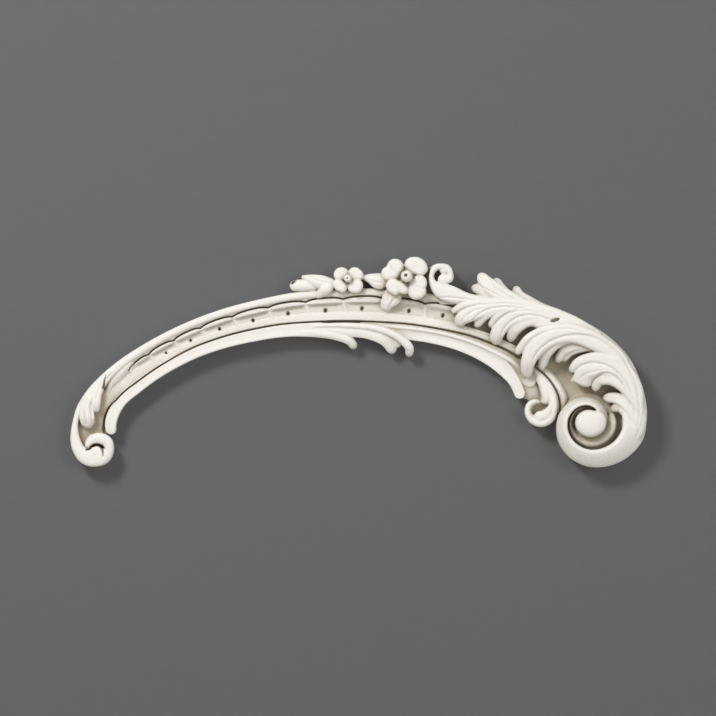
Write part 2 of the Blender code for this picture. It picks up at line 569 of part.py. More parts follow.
def flowers(bm):
    """Two four-petalled flowers on the crown of the arch, with their leaves and a rolled bud."""
    heart, small_heart = (406.6, 276.5), (347.8, 278.6)
    petals = [
        [(402.6, 262.0, 6.6, 26.5), (393.4, 268.4, 9.8, 28.5), (383.4, 276.0, 6.4, 24.5)],
        [(404.4, 260.4, 5.6, 26.5), (416.2, 265.8, 9.2, 28.5), (427.6, 270.6, 6.0, 25)],
        [(422.6, 275.4, 5.6, 27), (418.4, 287.4, 9.2, 29.5), (412.8, 299.2, 6.4, 26)],
        [(386.0, 282.8, 5.6, 27.5), (396.6, 286.8, 8.8, 30.5), (408.6, 289.0, 5.6, 28)],
        [(347.6, 268.6, 4.2, 21.5), (340.8, 274.0, 6.0, 23.5), (334.0, 279.6, 4.2, 21)],
        [(349.2, 268.0, 4.0, 21.5), (356.4, 272.8, 5.6, 23.5), (363.4, 278.0, 3.8, 21)],
        [(362.0, 279.8, 4.0, 22), (356.2, 286.6, 6.2, 24.5), (348.6, 292.2, 4.2, 22)],
        [(333.4, 281.6, 4.0, 22.5), (340.2, 285.8, 6.0, 25), (346.2, 292.4, 3.8, 22.5)],
    ]
    for stations in petals:
        rib(bm, stations, **PETAL)
    dome(bm, (404.5, 278), 9, 22.0, 1.0)
    dome(bm, (348.5, 280), 7, 17.0, 1.0)
    dome(bm, heart, 5.8, 35.0, 5.0)
    dome(bm, small_heart, 3.8, 29.0, 3.6)
    leaves = [
        [(397, 288, 6.0, 21), (392.4, 296.5, 9.0, 22), (387.2, 304, 6.6, 20), (384.6, 312, 3.2, 15.5)],
        [(388, 281.5, 6.0, 22), (378, 281.0, 8.0, 22.5), (369.4, 278.4, 4.8, 21), (361.2, 277.4, 1.3, 18)],
        [(336, 284, 4.0, 21), (322, 282.4, 7.0, 22.5), (311, 279.3, 5.0, 21.5), (301.4, 276.6, 1.3, 19)],
        [
            (333, 283, 4.4, 21.5), (326.4, 288.4, 6.0, 23.5), (321, 293.4, 4.6, 21),
            (316.6, 299.0, 2.0, 16.5),
        ],
    ]
    for stations in leaves:
        rib(bm, stations, drop=(3.0, 3.0), soft=1.4, foot_width=0.85)
    rib(bm, [
        (319, 286.5, 4.6, 19), (304, 285.6, 6.2, 21), (289.6, 286.0, 5.4, 19.5),
    ], drop=(4.4, 4.4), soft=1.9)


def carve():
    """Every shape of the carving in one mesh, still overlapping."""
    bm = bmesh.new()
    for shape in (
        ground,
        arch_rails,
        arch_leaves,
        scallops,
        left_scroll,
        large_volute,
        small_volute,
        acanthus,
        upper_leaf,
        flowers,
    ):
        shape(bm)
    bmesh.ops.recalc_face_normals(bm, faces=bm.faces)
    mesh = bpy.data.meshes.new("carving")
    bm.to_mesh(mesh)
    bm.free()
    return mesh


def apply_modifiers(obj):
    graph = bpy.context.evaluated_depsgraph_get()
    obj.data = bpy.data.meshes.new_from_object(obj.evaluated_get(graph))
    obj.modifiers.clear()


def drill(mesh):
    """Presses the drilled eyes into the front of the fused solid."""
    points = np.empty(len(mesh.vertices) * 3)
    mesh.vertices.foreach_get("co", points)
    points = points.reshape(-1, 3)
    x = points[:, 0] / UNIT + ORIGIN[0]
    y = ORIGIN[1] - points[:, 2] / UNIT
    front = points[:, 1] < -0.9 * PLATE
    for eye_x, eye_y, angle, long_half, short_half, depth in drilled_eyes():
        c, s = math.cos(math.radians(angle)), math.sin(math.radians(angle))
        away = np.hypot(((x - eye_x) * c + (y - eye_y) * s) / long_half,
                        ((y - eye_y) * c - (x - eye_x) * s) / short_half)
        points[:, 1] += np.where(front, depth * smooth_step((1.2 - away) / 0.45), 0.0)
    mesh.vertices.foreach_set("co", points.ravel())


def fuse(obj):
    """Makes one closed skin of the overlapping shapes, softens it, drills it and thins its faces."""
    remesh = obj.modifiers.new("fuse", "REMESH")
    remesh.mode = "VOXEL"
    remesh.voxel_size = VOXEL
    soften = obj.modifiers.new("soften", "SMOOTH")
    soften.factor = 0.5
    soften.iterations = 2
    apply_modifiers(obj)
    drill(obj.data)
    thin = obj.modifiers.new("thin", "DECIMATE")
    thin.ratio = min(1.0, TRIANGLES / sum(len(face.vertices) - 2 for face in obj.data.polygons))
    apply_modifiers(obj)


def cut_back_flat(mesh):
    """Cuts off what lies behind the wall face, and closes the cut with flat triangles."""
    bm = bmesh.new()
    bm.from_mesh(mesh)
    bmesh.ops.bisect_plane(
        bm, geom=bm.verts[:] + bm.edges[:] + bm.faces[:], dist=1e-6, plane_co=(0, 0, 0), plane_no=(0, 1, 0),
        clear_outer=True,
    )
    edges = [edge for edge in bm.edges if edge.is_boundary]
    bmesh.ops.triangle_fill(bm, use_beauty=True, edges=edges, normal=(0, 1, 0))
    bmesh.ops.recalc_face_normals(bm, faces=bm.faces)
    bm.to_mesh(mesh)
    bm.free()


def plaster():
    material = bpy.data.materials.new("plaster")
    material.use_nodes = True
    shader = material.node_tree.nodes["Principled BSDF"]
    shader.inputs["Base Color"].default_value = PLASTER_COLOUR
    shader.inputs["Roughness"].default_value = PLASTER_ROUGHNESS
    shader.inputs["Metallic"].default_value = 0.0
    return material


def main():
    clear_scene()
    collection = bpy.data.collections.new("ceiling moulding")
    bpy.context.scene.collection.children.link(collection)
    moulding = bpy.data.objects.new("moulding", carve())
    collection.objects.link(moulding)
    fuse(moulding)
    cut_back_flat(moulding.data)
    moulding.data.materials.clear()
    moulding.data.materials.append(plaster())
    moulding.data.shade_smooth()
    moulding.data.set_sharp_from_angle(angle=math.radians(40))


if __name__ == "__main__":
    main()
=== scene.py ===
"""Dresses the ceiling moulding: a rococo ornament of white plaster, cast in one piece.

The carving is drawn flat, on a grid of drawing units with x to the right and y down. Heights are drawing
units out from the wall. The pieces overlap a little, as neighbouring carvings on one cast do.
"""

import json
import math

import bmesh
import bpy
import numpy as np
from bpy.props import FloatProperty, FloatVectorProperty, PointerProperty
from mathutils import Matrix, Vector
from mathutils.kdtree import KDTree

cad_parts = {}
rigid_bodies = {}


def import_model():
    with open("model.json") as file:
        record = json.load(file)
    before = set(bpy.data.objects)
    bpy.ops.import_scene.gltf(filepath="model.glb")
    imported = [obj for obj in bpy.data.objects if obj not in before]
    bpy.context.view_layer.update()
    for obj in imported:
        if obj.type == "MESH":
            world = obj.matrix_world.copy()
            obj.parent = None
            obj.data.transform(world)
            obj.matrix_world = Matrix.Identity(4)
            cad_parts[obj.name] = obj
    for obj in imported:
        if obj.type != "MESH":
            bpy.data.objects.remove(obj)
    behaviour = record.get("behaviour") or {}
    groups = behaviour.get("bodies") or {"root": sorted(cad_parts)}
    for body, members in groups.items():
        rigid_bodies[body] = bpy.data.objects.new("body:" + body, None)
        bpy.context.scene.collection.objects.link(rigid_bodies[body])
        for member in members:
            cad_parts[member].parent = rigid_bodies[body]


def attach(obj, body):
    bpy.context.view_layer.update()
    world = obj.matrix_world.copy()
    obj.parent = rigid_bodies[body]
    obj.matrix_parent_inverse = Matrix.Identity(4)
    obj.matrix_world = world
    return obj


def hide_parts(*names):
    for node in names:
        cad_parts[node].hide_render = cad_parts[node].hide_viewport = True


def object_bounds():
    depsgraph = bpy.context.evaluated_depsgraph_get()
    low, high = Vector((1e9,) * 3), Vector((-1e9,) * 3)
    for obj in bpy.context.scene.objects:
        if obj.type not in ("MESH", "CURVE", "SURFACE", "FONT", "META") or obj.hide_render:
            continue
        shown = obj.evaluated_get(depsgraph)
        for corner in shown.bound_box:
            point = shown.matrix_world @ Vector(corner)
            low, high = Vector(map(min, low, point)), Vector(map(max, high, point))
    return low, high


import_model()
CAD_LOW, CAD_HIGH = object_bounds()

bl_info = {
    "name": "Rococo ceiling moulding",
    "version": (1, 0, 0),
    "blender": (4, 5, 0),
    "location": "View3D > Sidebar > Moulding",
    "description": "Carves a cast plaster scroll ornament and sets it on its wall",
    "category": "Add Mesh",
}

# The drawing
DRAWN_LENGTH = 576.5  # the moulding's length in drawing units
DRAWN_RELIEF = 36.5  # the highest carving in drawing units
ORIGIN = (358.0, 308.0)  # the drawing's point that lies at the model's origin
PICTURE = 716.0  # the side of the square picture in drawing units
FOOT = -4.0  # every shape reaches this far behind the wall, and the back is then cut flat
ACROSS = 21  # points across a carved band
LONGEST_NOSE = 0.48  # a rounded end takes up at most this share of its band
NEVER_PRESSED = 0.9  # what lies lower than this share of the ground is left alone by the tools
SHARP_EDGE = math.radians(55)

# The pieces: triangles that each is thinned to, and how far its back stays in front of the wall, in metres,
# so that no two of them share a plane
PIECES = {
    "arch": (190000, 0.0),
    "left_scroll": (60000, 0.0003),
    "acanthus_leaf": (196000, 0.0005),
    "small_volute": (60000, 0.0007),
    "flowers": (110000, 0.0009),
}

# The stage, in metres: each light's place and the side of its square
LIGHTS = {
    "key": ((-1.35, -1.9, 1.62), 0.7),
    "fill": ((1.8, -2.2, 0.2), 1.6),
    "back": ((-1.0, 2.4, 1.2), 1.6),
}
LIT_POINT = Vector((0.0, 0.0, -0.05))
WALL_GAP = 0.0006  # between the moulding's back and the wall
FLOOR_LEVEL = -0.70
CAMERA_AWAY = 6.0
MID_RELIEF = 0.015  # the picture's scale holds at this height
SENSOR = 36.0  # millimetres

# The section of a leaf's blades, as rib() takes it
BLADE = {"drop": (3.0, 3.0), "power": 4.2, "soft": 1.3, "foot_width": 0.88}

# The painted shade in the hollows and at the bottom of the grooves, in metres and shares
CELL = 0.0012  # of the height field that tells how deep a point lies
EDGE = 0.01  # bare wall round the height field
REACH = 0.022  # carving farther away than this hides no sky
OPEN_SKY, DARK_SKY = 0.88, 0.33  # shares of the sky that a spot with no painted shade and a spot with full painted shade see
SUNK = 0.006  # a wall gets the full painted shade this far below its top
BACK = (0.0014, 0.12)  # the back's greatest height, and the little of the tan that it gets
GROOVE_SHADE_HEIGHTS = (0.005, 18.6)  # lowest in metres, highest in drawing units


def linear(hex_colour):
    """The linear colour of an sRGB hex value."""
    values = [int(hex_colour[i : i + 2], 16) / 255 for i in (1, 3, 5)]
    return tuple(v / 12.92 if v <= 0.04045 else ((v + 0.055) / 1.055) ** 2.4 for v in values)


class MouldingSizes(bpy.types.PropertyGroup):
    """The sizes of the moulding."""

    length: FloatProperty(
        name="Length", description="Across the whole moulding", default=0.600, min=0.1, unit="LENGTH"
    )
    relief: FloatProperty(
        name="Relief", description="From the wall to the highest carving", default=0.038, min=0.01,
        unit="LENGTH",
    )
    plate: FloatProperty(
        name="Ground", description="Thickness of the plain ground", default=0.0068, min=0.001, unit="LENGTH"
    )
    scallop_hollow: FloatProperty(
        name="Scallop hollow", description="How deep a full-size scallop lies below its ridges",
        default=0.0042, min=0.0, unit="LENGTH",
    )
    eye_radius: FloatProperty(
        name="Eye radius", description="Of the drilled eye in a full-size scallop", default=0.0018, min=0.0,
        unit="LENGTH",
    )
    eye_depth: FloatProperty(
        name="Eye depth", description="Of every drilled eye and slit", default=0.0055, min=0.0, unit="LENGTH"
    )
    grid: FloatProperty(
        name="Grid", description="Fineness of the grid that the shapes are fused on", default=0.00055,
        min=0.0003, unit="LENGTH",
    )
    spacing: FloatProperty(
        name="Spacing", description="Between two sections of a carved band, in drawing units",
        default=0.8, min=0.3,
    )


class MouldingColours(bpy.types.PropertyGroup):
    """The colours of the plaster and of the wall."""

    plaster: FloatVectorProperty(
        name="Plaster", description="Painted plaster on the raised carving", subtype="COLOR", size=3,
        default=linear("#F1EEE8"), min=0.0, max=1.0,
    )
    # painted shade: the dark brown at the bottom of the grooves and the drilled eyes
    grime: FloatVectorProperty(
        name="Grime", description="Old dirt at the bottom of the grooves and eyes", subtype="COLOR", size=3,
        default=linear("#82735F"), min=0.0, max=1.0,
    )
    # painted shade: the tan in the hollows, which is also the colour of the dust specks
    hollow_shade_and_dust: FloatVectorProperty(
        name="Recess", description="Aged paint and dust in the hollows", subtype="COLOR", size=3,
        default=linear("#A3957C"), min=0.0, max=1.0,
    )
    wall: FloatVectorProperty(
        name="Wall", description="The matt wall behind the moulding", subtype="COLOR", size=3,
        default=linear("#666768"), min=0.0, max=1.0,
    )
    floor: FloatVectorProperty(
        name="Floor", description="The plain pale floor", subtype="COLOR", size=3,
        default=linear("#CFCCC6"), min=0.0, max=1.0,
    )


class StudioLight(bpy.types.PropertyGroup):
    """The soft studio light."""

    key: FloatProperty(
        name="Key light", description="From the upper left", default=53.0, min=0.0, unit="POWER"
    )
    fill: FloatProperty(name="Fill light", description="From the right", default=21.0, min=0.0, unit="POWER")
    back: FloatProperty(
        name="Back light", description="From behind the wall", default=12.0, min=0.0, unit="POWER"
    )
    room: FloatProperty(name="Room light", description="Even light of the room", default=0.38, min=0.0)


def units_of(sizes):
    """Metres in a drawing unit, in the plane and in height."""
    return sizes.length / DRAWN_LENGTH, sizes.relief / DRAWN_RELIEF


def on_drawing(x, z, unit):
    """Where a point of the model lies on the drawing."""
    return x / unit + ORIGIN[0], ORIGIN[1] - z / unit


def smooth_step(value):
    """Eases from 0 to 1 as the value does, and stays there beyond."""
    value = np.clip(value, 0.0, 1.0)
    return value * value * (3.0 - 2.0 * value)


def flow(stations, along):
    """Rows read from one smooth curve through the stations, at the given distances along it."""
    knots = np.array(stations, float)
    chords = np.linalg.norm(np.diff(knots[:, :2], axis=0), axis=1)
    at = np.concatenate([[0.0], np.cumsum(chords)])
    slopes = np.gradient(knots, at, axis=0)
    piece = np.clip(np.searchsorted(at, along, side="right") - 1, 0, len(at) - 2)
    span = (at[piece + 1] - at[piece])[:, None]
    t = (along[:, None] - at[piece][:, None]) / span
    return (
        (2 * t**3 - 3 * t**2 + 1) * knots[piece]
        + (t**3 - 2 * t**2 + t) * span * slopes[piece]
        + (3 * t**2 - 2 * t**3) * knots[piece + 1]
        + (t**3 - t**2) * span * slopes[piece + 1]
    )


def length_of(stations):
    """The length of the straight lines between the stations."""
    knots = np.array(stations, float)[:, :2]
    return float(np.linalg.norm(np.diff(knots, axis=0), axis=1).sum())


def sides_of(rows):
    """The unit vectors across a path, to its left as it is followed with y down."""
    ahead = np.gradient(rows[:, :2], axis=0)
    ahead /= np.maximum(np.linalg.norm(ahead, axis=1), 1e-9)[:, None]
    return np.stack([ahead[:, 1], -ahead[:, 0]], axis=1)


def polar(centre, rows):
    """Stations round a centre, from rows of an angle, clockwise in degrees, a radius and what else it has."""
    return [
        (
            centre[0] + radius * math.cos(math.radians(angle)),
            centre[1] + radius * math.sin(math.radians(angle)),
            *rest,
        )
        for angle, radius, *rest in rows
    ]


class Carving:
    """The overlapping shapes of one piece, before they are fused."""

    def __init__(self, sizes):
        self.bm = bmesh.new()
        self.unit, self.height_unit = units_of(sizes)
        self.ground = sizes.plate / self.height_unit
        self.scallop_hollow = sizes.scallop_hollow
        self.spacing = sizes.spacing

    def place(self, x, y, height):
        """The model's coordinates of a point of the drawing."""
        return ((x - ORIGIN[0]) * self.unit, -height * self.height_unit, (ORIGIN[1] - y) * self.unit)

    def block(self, top, bottom):
        """A closed solid between two grids of points in drawing units."""
        bm = self.bm
        rows, columns = top.shape[:2]
        upper = [[bm.verts.new(self.place(*point)) for point in row] for row in top]
        lower = [[bm.verts.new(self.place(*point)) for point in row] for row in bottom]
        for i in range(rows - 1):
            for j in range(columns - 1):
                bm.faces.new((upper[i][j], upper[i][j + 1], upper[i + 1][j + 1], upper[i + 1][j]))
                bm.faces.new((lower[i][j], lower[i + 1][j], lower[i + 1][j + 1], lower[i][j + 1]))
        rim = [(i, 0) for i in range(rows)]
        rim += [(rows - 1, j) for j in range(1, columns)]
        rim += [(i, columns - 1) for i in range(rows - 2, -1, -1)]
        rim += [(0, j) for j in range(columns - 2, 0, -1)]
        for (i, j), (k, m) in zip(rim, rim[1:] + rim[:1]):
            bm.faces.new((upper[i][j], upper[k][m], lower[k][m], lower[i][j]))

    def stand(self, x, y, height, foot=None):
        """A closed solid whose top is a grid of points, and whose foot is the same grid behind the wall."""
        height = height + 0 * x
        self.block(np.stack([x, y, height], axis=2), np.stack([*(foot or (x, y)), 0 * x + FOOT], axis=2))

    def rib(
        self, stations, drop=(2.0, 2.0), crest=0.0, power=2.0, soft=1.0, hollow=0.0, ends=(True, True),
        blunt=1.0, foot_width=0.9,
    ):
        """A carved band that follows a path. A station is x, y, half width, height of the crest.

        drop is how far each edge lies below the crest, left and right. crest is where the highest line lies
        across the band, from -1 to 1. power and soft shape the slope: soft 1 leaves a crisp edge and 2 a
        round one. hollow sinks the middle, ends says which ends are rounded to a nose, blunt is the nose's
        length in half widths, and foot_width is the share of the width that reaches the wall.
        """
        total = length_of(stations)
        noses = [
            min(stations[end][2] * blunt, LONGEST_NOSE * total) if rounded else 0.0
            for end, rounded in zip((0, -1), ends)
        ]
        turn = np.sin(np.linspace(0.0, math.pi / 2, 11)[1:])
        along = np.linspace(noses[0], total - noses[1], max(3, int(total / self.spacing) + 2))
        if ends[0]:
            along = np.concatenate([noses[0] * (1 - turn[::-1]), along])
        if ends[1]:
            along = np.concatenate([along, total - noses[1] * (1 - turn)])
        along = np.unique(np.clip(along, 0.0, total))
        rows = flow(stations, along)
        nose = np.zeros(len(along))
        if ends[0]:
            nose = np.maximum(nose, 1 - along / noses[0])
        if ends[1]:
            nose = np.maximum(nose, 1 - (total - along) / noses[1])
        nose = np.clip(nose, 0.0, 0.998)  # a tip keeps a little width, so that its faces stay whole
        half = rows[:, 2] * np.sqrt(1 - nose**2)
        sides = sides_of(rows)
        across = np.sin(np.linspace(-math.pi / 2, math.pi / 2, ACROSS))
        from_crest = np.where(across < crest, (crest - across) / (1 + crest), (across - crest) / (1 - crest))
        fall = np.where(across < crest, drop[1], drop[0])
        radius = np.sqrt(nose[:, None] ** 2 + from_crest[None, :] ** 2 * (1 - nose[:, None] ** 2))
        slope = 1 - np.maximum(1 - radius**power, 0.0) ** (1 / soft)
        height = rows[:, 3][:, None] - fall[None, :] * slope - hollow * np.maximum(1 - radius**2, 0.0) ** 1.5
        shift = half[:, None] * across[None, :]
        (x, y), (side_x, side_y) = rows.T[:2, :, None], sides.T[:, :, None]
        foot = (x + side_x * shift * foot_width, y + side_y * shift * foot_width)
        self.stand(x + side_x * shift, y + side_y * shift, height, foot)

    def dome(self, centre, radius, height, drop):
        """A round boss: a short cylinder with a flattened ball on it, whose cap is drop high."""
        shoulder = height - drop
        turned = Matrix.Rotation(math.radians(90), 4, "X")
        middle = Matrix.Translation(self.place(*centre, (shoulder + FOOT) / 2))
        depth = (shoulder - FOOT) * self.height_unit
        size = radius * self.unit
        bmesh.ops.create_cone(
            self.bm, cap_ends=True, segments=64, radius1=size, radius2=size, depth=depth,
            matrix=middle @ turned,
        )
        flattened = Matrix.Diagonal((1, drop * self.height_unit / size, 1, 1))
        ball = Matrix.Translation(self.place(*centre, shoulder)) @ flattened @ turned
        bmesh.ops.create_uvsphere(self.bm, u_segments=64, v_segments=40, radius=size, matrix=ball)

    def boss(self, centre, outline, height, drop, hollow=0.0):
        """A low dome, or a cupped petal, inside a free outline that the centre sees all round."""
        away = np.array(outline, float) - np.array(centre)
        turn = np.degrees(np.arctan2(away[:, 1], away[:, 0])) % 360
        order = np.argsort(turn)
        turn, far = turn[order], np.hypot(away[:, 0], away[:, 1])[order]
        degrees = np.arange(0.0, 360.0, 4.0)  # of the points round the outline, which is then smoothed
        reach = np.interp(degrees, np.concatenate([turn - 360, turn, turn + 360]), np.tile(far, 3))
        for _ in range(3):
            reach = (np.roll(reach, 1) + 2 * reach + np.roll(reach, -1)) / 4
        reach = np.append(reach, reach[0])[:, None]
        angles = np.radians(np.append(degrees, 360.0))[:, None]
        share = np.sin(np.linspace(0.02, math.pi / 2, 18))[None, :]
        fall = drop * (1 - np.sqrt(np.maximum(1 - share**2.8, 0.0))) + hollow * (1 - share**2) ** 1.5
        out = reach * share
        self.stand(centre[0] + out * np.cos(angles), centre[1] + out * np.sin(angles), height - fall)

    def plate(self, outline, height):
        """A flat ground of one height inside a closed outline."""
        face = self.bm.faces.new([self.bm.verts.new(self.place(x, y, FOOT)) for x, y in outline])
        raised = bmesh.ops.extrude_face_region(self.bm, geom=[face], use_keep_orig=True)
        top = [item for item in raised["geom"] if isinstance(item, bmesh.types.BMVert)]
        bmesh.ops.translate(self.bm, verts=top, vec=(0, -(height - FOOT) * self.height_unit, 0))

    def mesh(self):
        """The shapes as one mesh, which the carving gives up."""
        bmesh.ops.recalc_face_normals(self.bm, faces=self.bm.faces)
        mesh = bpy.data.meshes.new("carving")
        self.bm.to_mesh(mesh)
        self.bm.free()
        return mesh


def arch_ground(carving):
    """The plain ground behind the arch."""
    arch = [
        (92, 445, 12), (96, 410, 15), (124, 380, 15), (165, 354, 15), (207, 335, 15), (253, 321, 16),
        (300, 314, 18), (352, 312, 20), (402, 315, 20), (450, 323, 22), (490, 335, 26),
    ]
    stations = [(*station, carving.ground) for station in arch]
    carving.rib(stations, drop=(0, 0), ends=(False, False), foot_width=1.0)


def leaf_ground(carving):
    """The plain ground behind the large leaf, its volute and the curl."""
    carving.plate([
        (470, 304), (520, 306), (560, 318), (590, 332), (616, 354), (632, 380), (638, 410), (630, 438),
        (600, 458), (572, 448), (562, 428), (560, 410), (545, 400), (520, 388), (500, 368), (470, 352),
    ], carving.ground - 0.6)
    carving.plate([
        (424, 268), (434, 266), (446, 268), (450, 276), (444, 300), (418, 300), (414, 284),
    ], carving.ground - 0.6)


def flower_ground(carving):
    """The plain ground behind the two flowers."""
    carving.plate([(343, 272), (352, 272), (353, 300), (342, 300)], carving.ground - 1.1)
    carving.plate([(400, 268), (413, 268), (420, 282), (412, 298), (392, 296)], carving.ground - 1.1)


def arch_rails(carving):
    """The round outer rail, which broadens into the small scroll's rim, the fillet and the inner rail."""
    outer = [
        (462, 303, 3.6, 17), (430, 297.2, 3.9, 17), (405, 293.9, 4.2, 17), (370, 292.8, 4.4, 17),
        (340, 293.4, 4.4, 17.4), (320, 294, 4.2, 18), (300.4, 295.6, 3.9, 19), (260.7, 302.9, 3.8, 19),
        (221.1, 313.4, 3.8, 19), (181.4, 328.8, 3.8, 19), (142, 350, 4, 19), (122.6, 363.2, 4.4, 19),
        (109.6, 373.8, 4.6, 19), (88.6, 395.6, 4.4, 19), (80.3, 408, 3.7, 19), (75.7, 421, 2.9, 19),
        (74.7, 431, 3.8, 19.5), (75.7, 441, 5.2, 20), (79.4, 450.3, 6.4, 20.5), (86.5, 456.8, 8, 21),
        (94, 458.6, 8.2, 21), (102.5, 456.2, 8, 21), (107.4, 449.4, 6.4, 21),
    ]
    carving.rib(outer, drop=(3.0, 3.0), power=2.5, soft=1.8, ends=(False, True))
    under = [
        (462, 309.5, 3.4, 15.2), (430, 303.4, 3.4, 15.4), (405, 300.2, 3.6, 15.4), (370, 298.6, 3.6, 15.4),
        (340, 299.4, 3.6, 15.8), (302, 301.6, 3.6, 16.4), (262, 308.4, 3.4, 16.4), (223, 318.7, 3.4, 16.4),
        (184, 333.9, 3.4, 16.4), (145, 354.6, 3.2, 16.2), (125.8, 367.6, 2.8, 15.6),
    ]
    carving.rib(under, drop=(0.6, 0.6), power=4, foot_width=1.0)
    cove = [
        (97.5, 432, 5.4, 9.6), (97.6, 420, 5.7, 10.2), (100.6, 408, 7.4, 11), (107.4, 397, 7.4, 11.8),
        (116.4, 387.2, 7.2, 12.6), (127.6, 378, 6, 13.2), (141, 368.8, 4.8, 13.6),
    ]
    carving.rib(cove, drop=(0.6, 0.6), power=4, foot_width=1.0)
    fillet = [
        (112.8, 396.6, 3.6, 12), (122.2, 387.2, 4, 13), (149.5, 366.6, 4.2, 13.6),
        (173.1, 353.8, 4.2, 13.8), (189.6, 346.1, 4.2, 13.8), (218.4, 335.3, 4.2, 13.8),
        (247.7, 327.1, 4.2, 13.8), (280.2, 321.2, 4.3, 13.8), (311.5, 317.9, 4.4, 13.8),
        (350, 316.6, 4.6, 13.8), (400, 319.6, 4.8, 13.8), (450, 327.4, 5, 13.8), (490, 339.2, 5.2, 13.8),
        (518, 352.6, 5.2, 13.8),
    ]
    carving.rib(fillet, drop=(0.4, 0.4), power=5, ends=(True, False), foot_width=1.0)
    inner = [
        (111.6, 434.6, 4.8, 16), (110.6, 425, 5.4, 17), (112.8, 414.8, 5.8, 17), (120.2, 402, 5.6, 17),
        (135.7, 388.6, 5.6, 17), (155.2, 374.1, 5.6, 17), (177.5, 361.1, 5.6, 17), (193.6, 353.3, 5.6, 17),
        (221.6, 343.4, 5.6, 17), (250, 336.4, 5.9, 17), (282, 330.9, 6.4, 17), (312, 329.5, 7, 16.6),
        (334, 330.4, 7, 15.6),
    ]
    carving.rib(inner, drop=(0.4, 0.8), power=5, ends=(True, False), hollow=0.7, foot_width=1.0)


def arch_leaves(carving):
    """The two leaf ends that the inner rail breaks into, and the rail that comes out from behind them."""
    carving.rib([
        (270, 334, 2, 15), (296, 332.6, 4.2, 16.4), (318, 333.2, 4.4, 16.8), (338, 336.2, 4.6, 16.6),
        (349.6, 340.8, 4.6, 15.6), (355.6, 348.4, 3.8, 12),
    ], drop=(1.8, 1.8))
    carving.rib([
        (296, 328, 1.2, 15.2), (320, 325.8, 2, 17), (345, 325.4, 2.8, 18.2), (365, 326.8, 3.1, 19),
        (385, 331, 3.4, 19.6), (401, 339.4, 3.8, 19), (409.4, 348.6, 4.4, 17.4), (408.6, 356.8, 3.6, 13),
    ], drop=(2.2, 2.2), soft=1.6)
    carving.rib([
        (298, 330.4, 4, 15.2), (325, 330.2, 5.2, 16.4), (350, 331.2, 5.6, 17), (370, 333.6, 6, 17.6),
        (386, 340.2, 6.6, 16.8), (394.4, 352.9, 5, 12.6),
    ], drop=(1.6, 1.6))
    carving.rib([
        (365, 325.2, 1.5, 15.6), (395, 327, 1.6, 16), (430, 331.2, 1.7, 16.4), (462, 338.7, 1.8, 16.6),
        (492, 350.8, 2, 16.6), (514, 363, 2.2, 16.4), (528, 377, 2.2, 13),
    ], drop=(1.4, 1.4), soft=2.0)
    carving.rib([
        (375, 330.6, 5.9, 15.2), (405, 333.2, 6.2, 15.2), (435, 337.6, 6.4, 15.2), (462, 345, 6.7, 15.2),
        (487, 356.4, 7.2, 15.2), (504, 368.8, 7.2, 15.2), (514.5, 382, 5.6, 15.4), (521.6, 398.4, 5.2, 14),
    ], drop=(0.5, 0.9), hollow=0.9, power=3, foot_width=1.0)
    carving.rib([
        (375, 333, 4.4, 16.2), (390, 337.6, 5.4, 15.8), (401, 345.6, 4.8, 14.4),
    ], drop=(1.4, 1.4))
    carving.rib([
        (360, 323.6, 4.6, 13), (400, 325.6, 5.4, 13), (430, 329.8, 5.8, 13), (460, 336.8, 6.4, 13),
        (490, 347.6, 7.4, 13), (512, 361, 9, 12.8), (525, 373, 9, 12.2), (533, 386, 7, 11.5),
    ], drop=(0.3, 0.3), foot_width=1.0)
    carving.rib([
        (484, 350, 6, 12.5), (500, 360, 8, 13), (518, 375, 9, 11.5), (531, 392, 8, 9), (536, 402, 5, 7.5),
    ], drop=(0.5, 0.5), foot_width=1.0)


LIP = [  # the upper edge of the row of scallops: x, y, reach down to the fillet, height of the fillet
    (108, 389.4, 9, 12.5), (128.2, 369.6, 10.4, 13.2), (148.4, 353.6, 11.2, 13.5), (173.4, 339.6, 12, 13.5),
    (200.2, 327, 12.8, 13.5), (232.3, 315.6, 13.8, 13.5), (268.4, 306.4, 15, 13.5),
    (305.2, 300.8, 16.4, 13.5), (343, 297.8, 17.8, 13.5), (384, 297.4, 18.9, 13.5),
    (425, 302.2, 18.8, 13.5), (462, 308.4, 18.8, 13.5),
]
# x of the ridges between the scallops
NOTCHES = [128, 148, 173, 200, 232, 268, 305, 343, 384, 425, 460]
FULL_REACH = 19.0  # of a full-size scallop
BULGE = 2.6  # how far its middle stands out beyond its notches
LIP_RISE = 2.8  # how far its lip lies above the fillet
LEAN = 4.0  # how far its ridges lean to the right at the fillet
GROOVE_DEPTH = 5.6
# the drilled eyes: x, y, direction of the long axis, size against a full-size one
EYES = [
    (166, 353, 60, 0.62), (190.5, 340.5, 63, 0.75), (219.5, 329, 67, 0.85), (253, 320.5, 72, 0.95),
    (288, 313.5, 77, 1), (325.5, 310.5, 82, 1.05), (362, 308.5, 90, 1), (409, 311, 98, 1),
    (443, 315.5, 103, 1),
]


def along_of(x):
    """Distance along the scallops' upper edge of a point at this x."""
    knots = np.array(LIP, float)
    at = np.concatenate([[0.0], np.cumsum(np.linalg.norm(np.diff(knots[:, :2], axis=0), axis=1))])
    return float(np.interp(x, knots[:, 0], at))


def scallop_edge(left, right, count):
    """Rows along the top of one scallop, which bulges towards the rail between its two notches."""
    rows = flow(LIP, np.linspace(along_of(left), along_of(right), count))
    sides = sides_of(rows)
    u = np.linspace(-1.0, 1.0, count)
    dip = BULGE * np.sqrt(rows[:, 2] / FULL_REACH) * np.abs(u) ** 3.0
    return rows, sides, u, dip


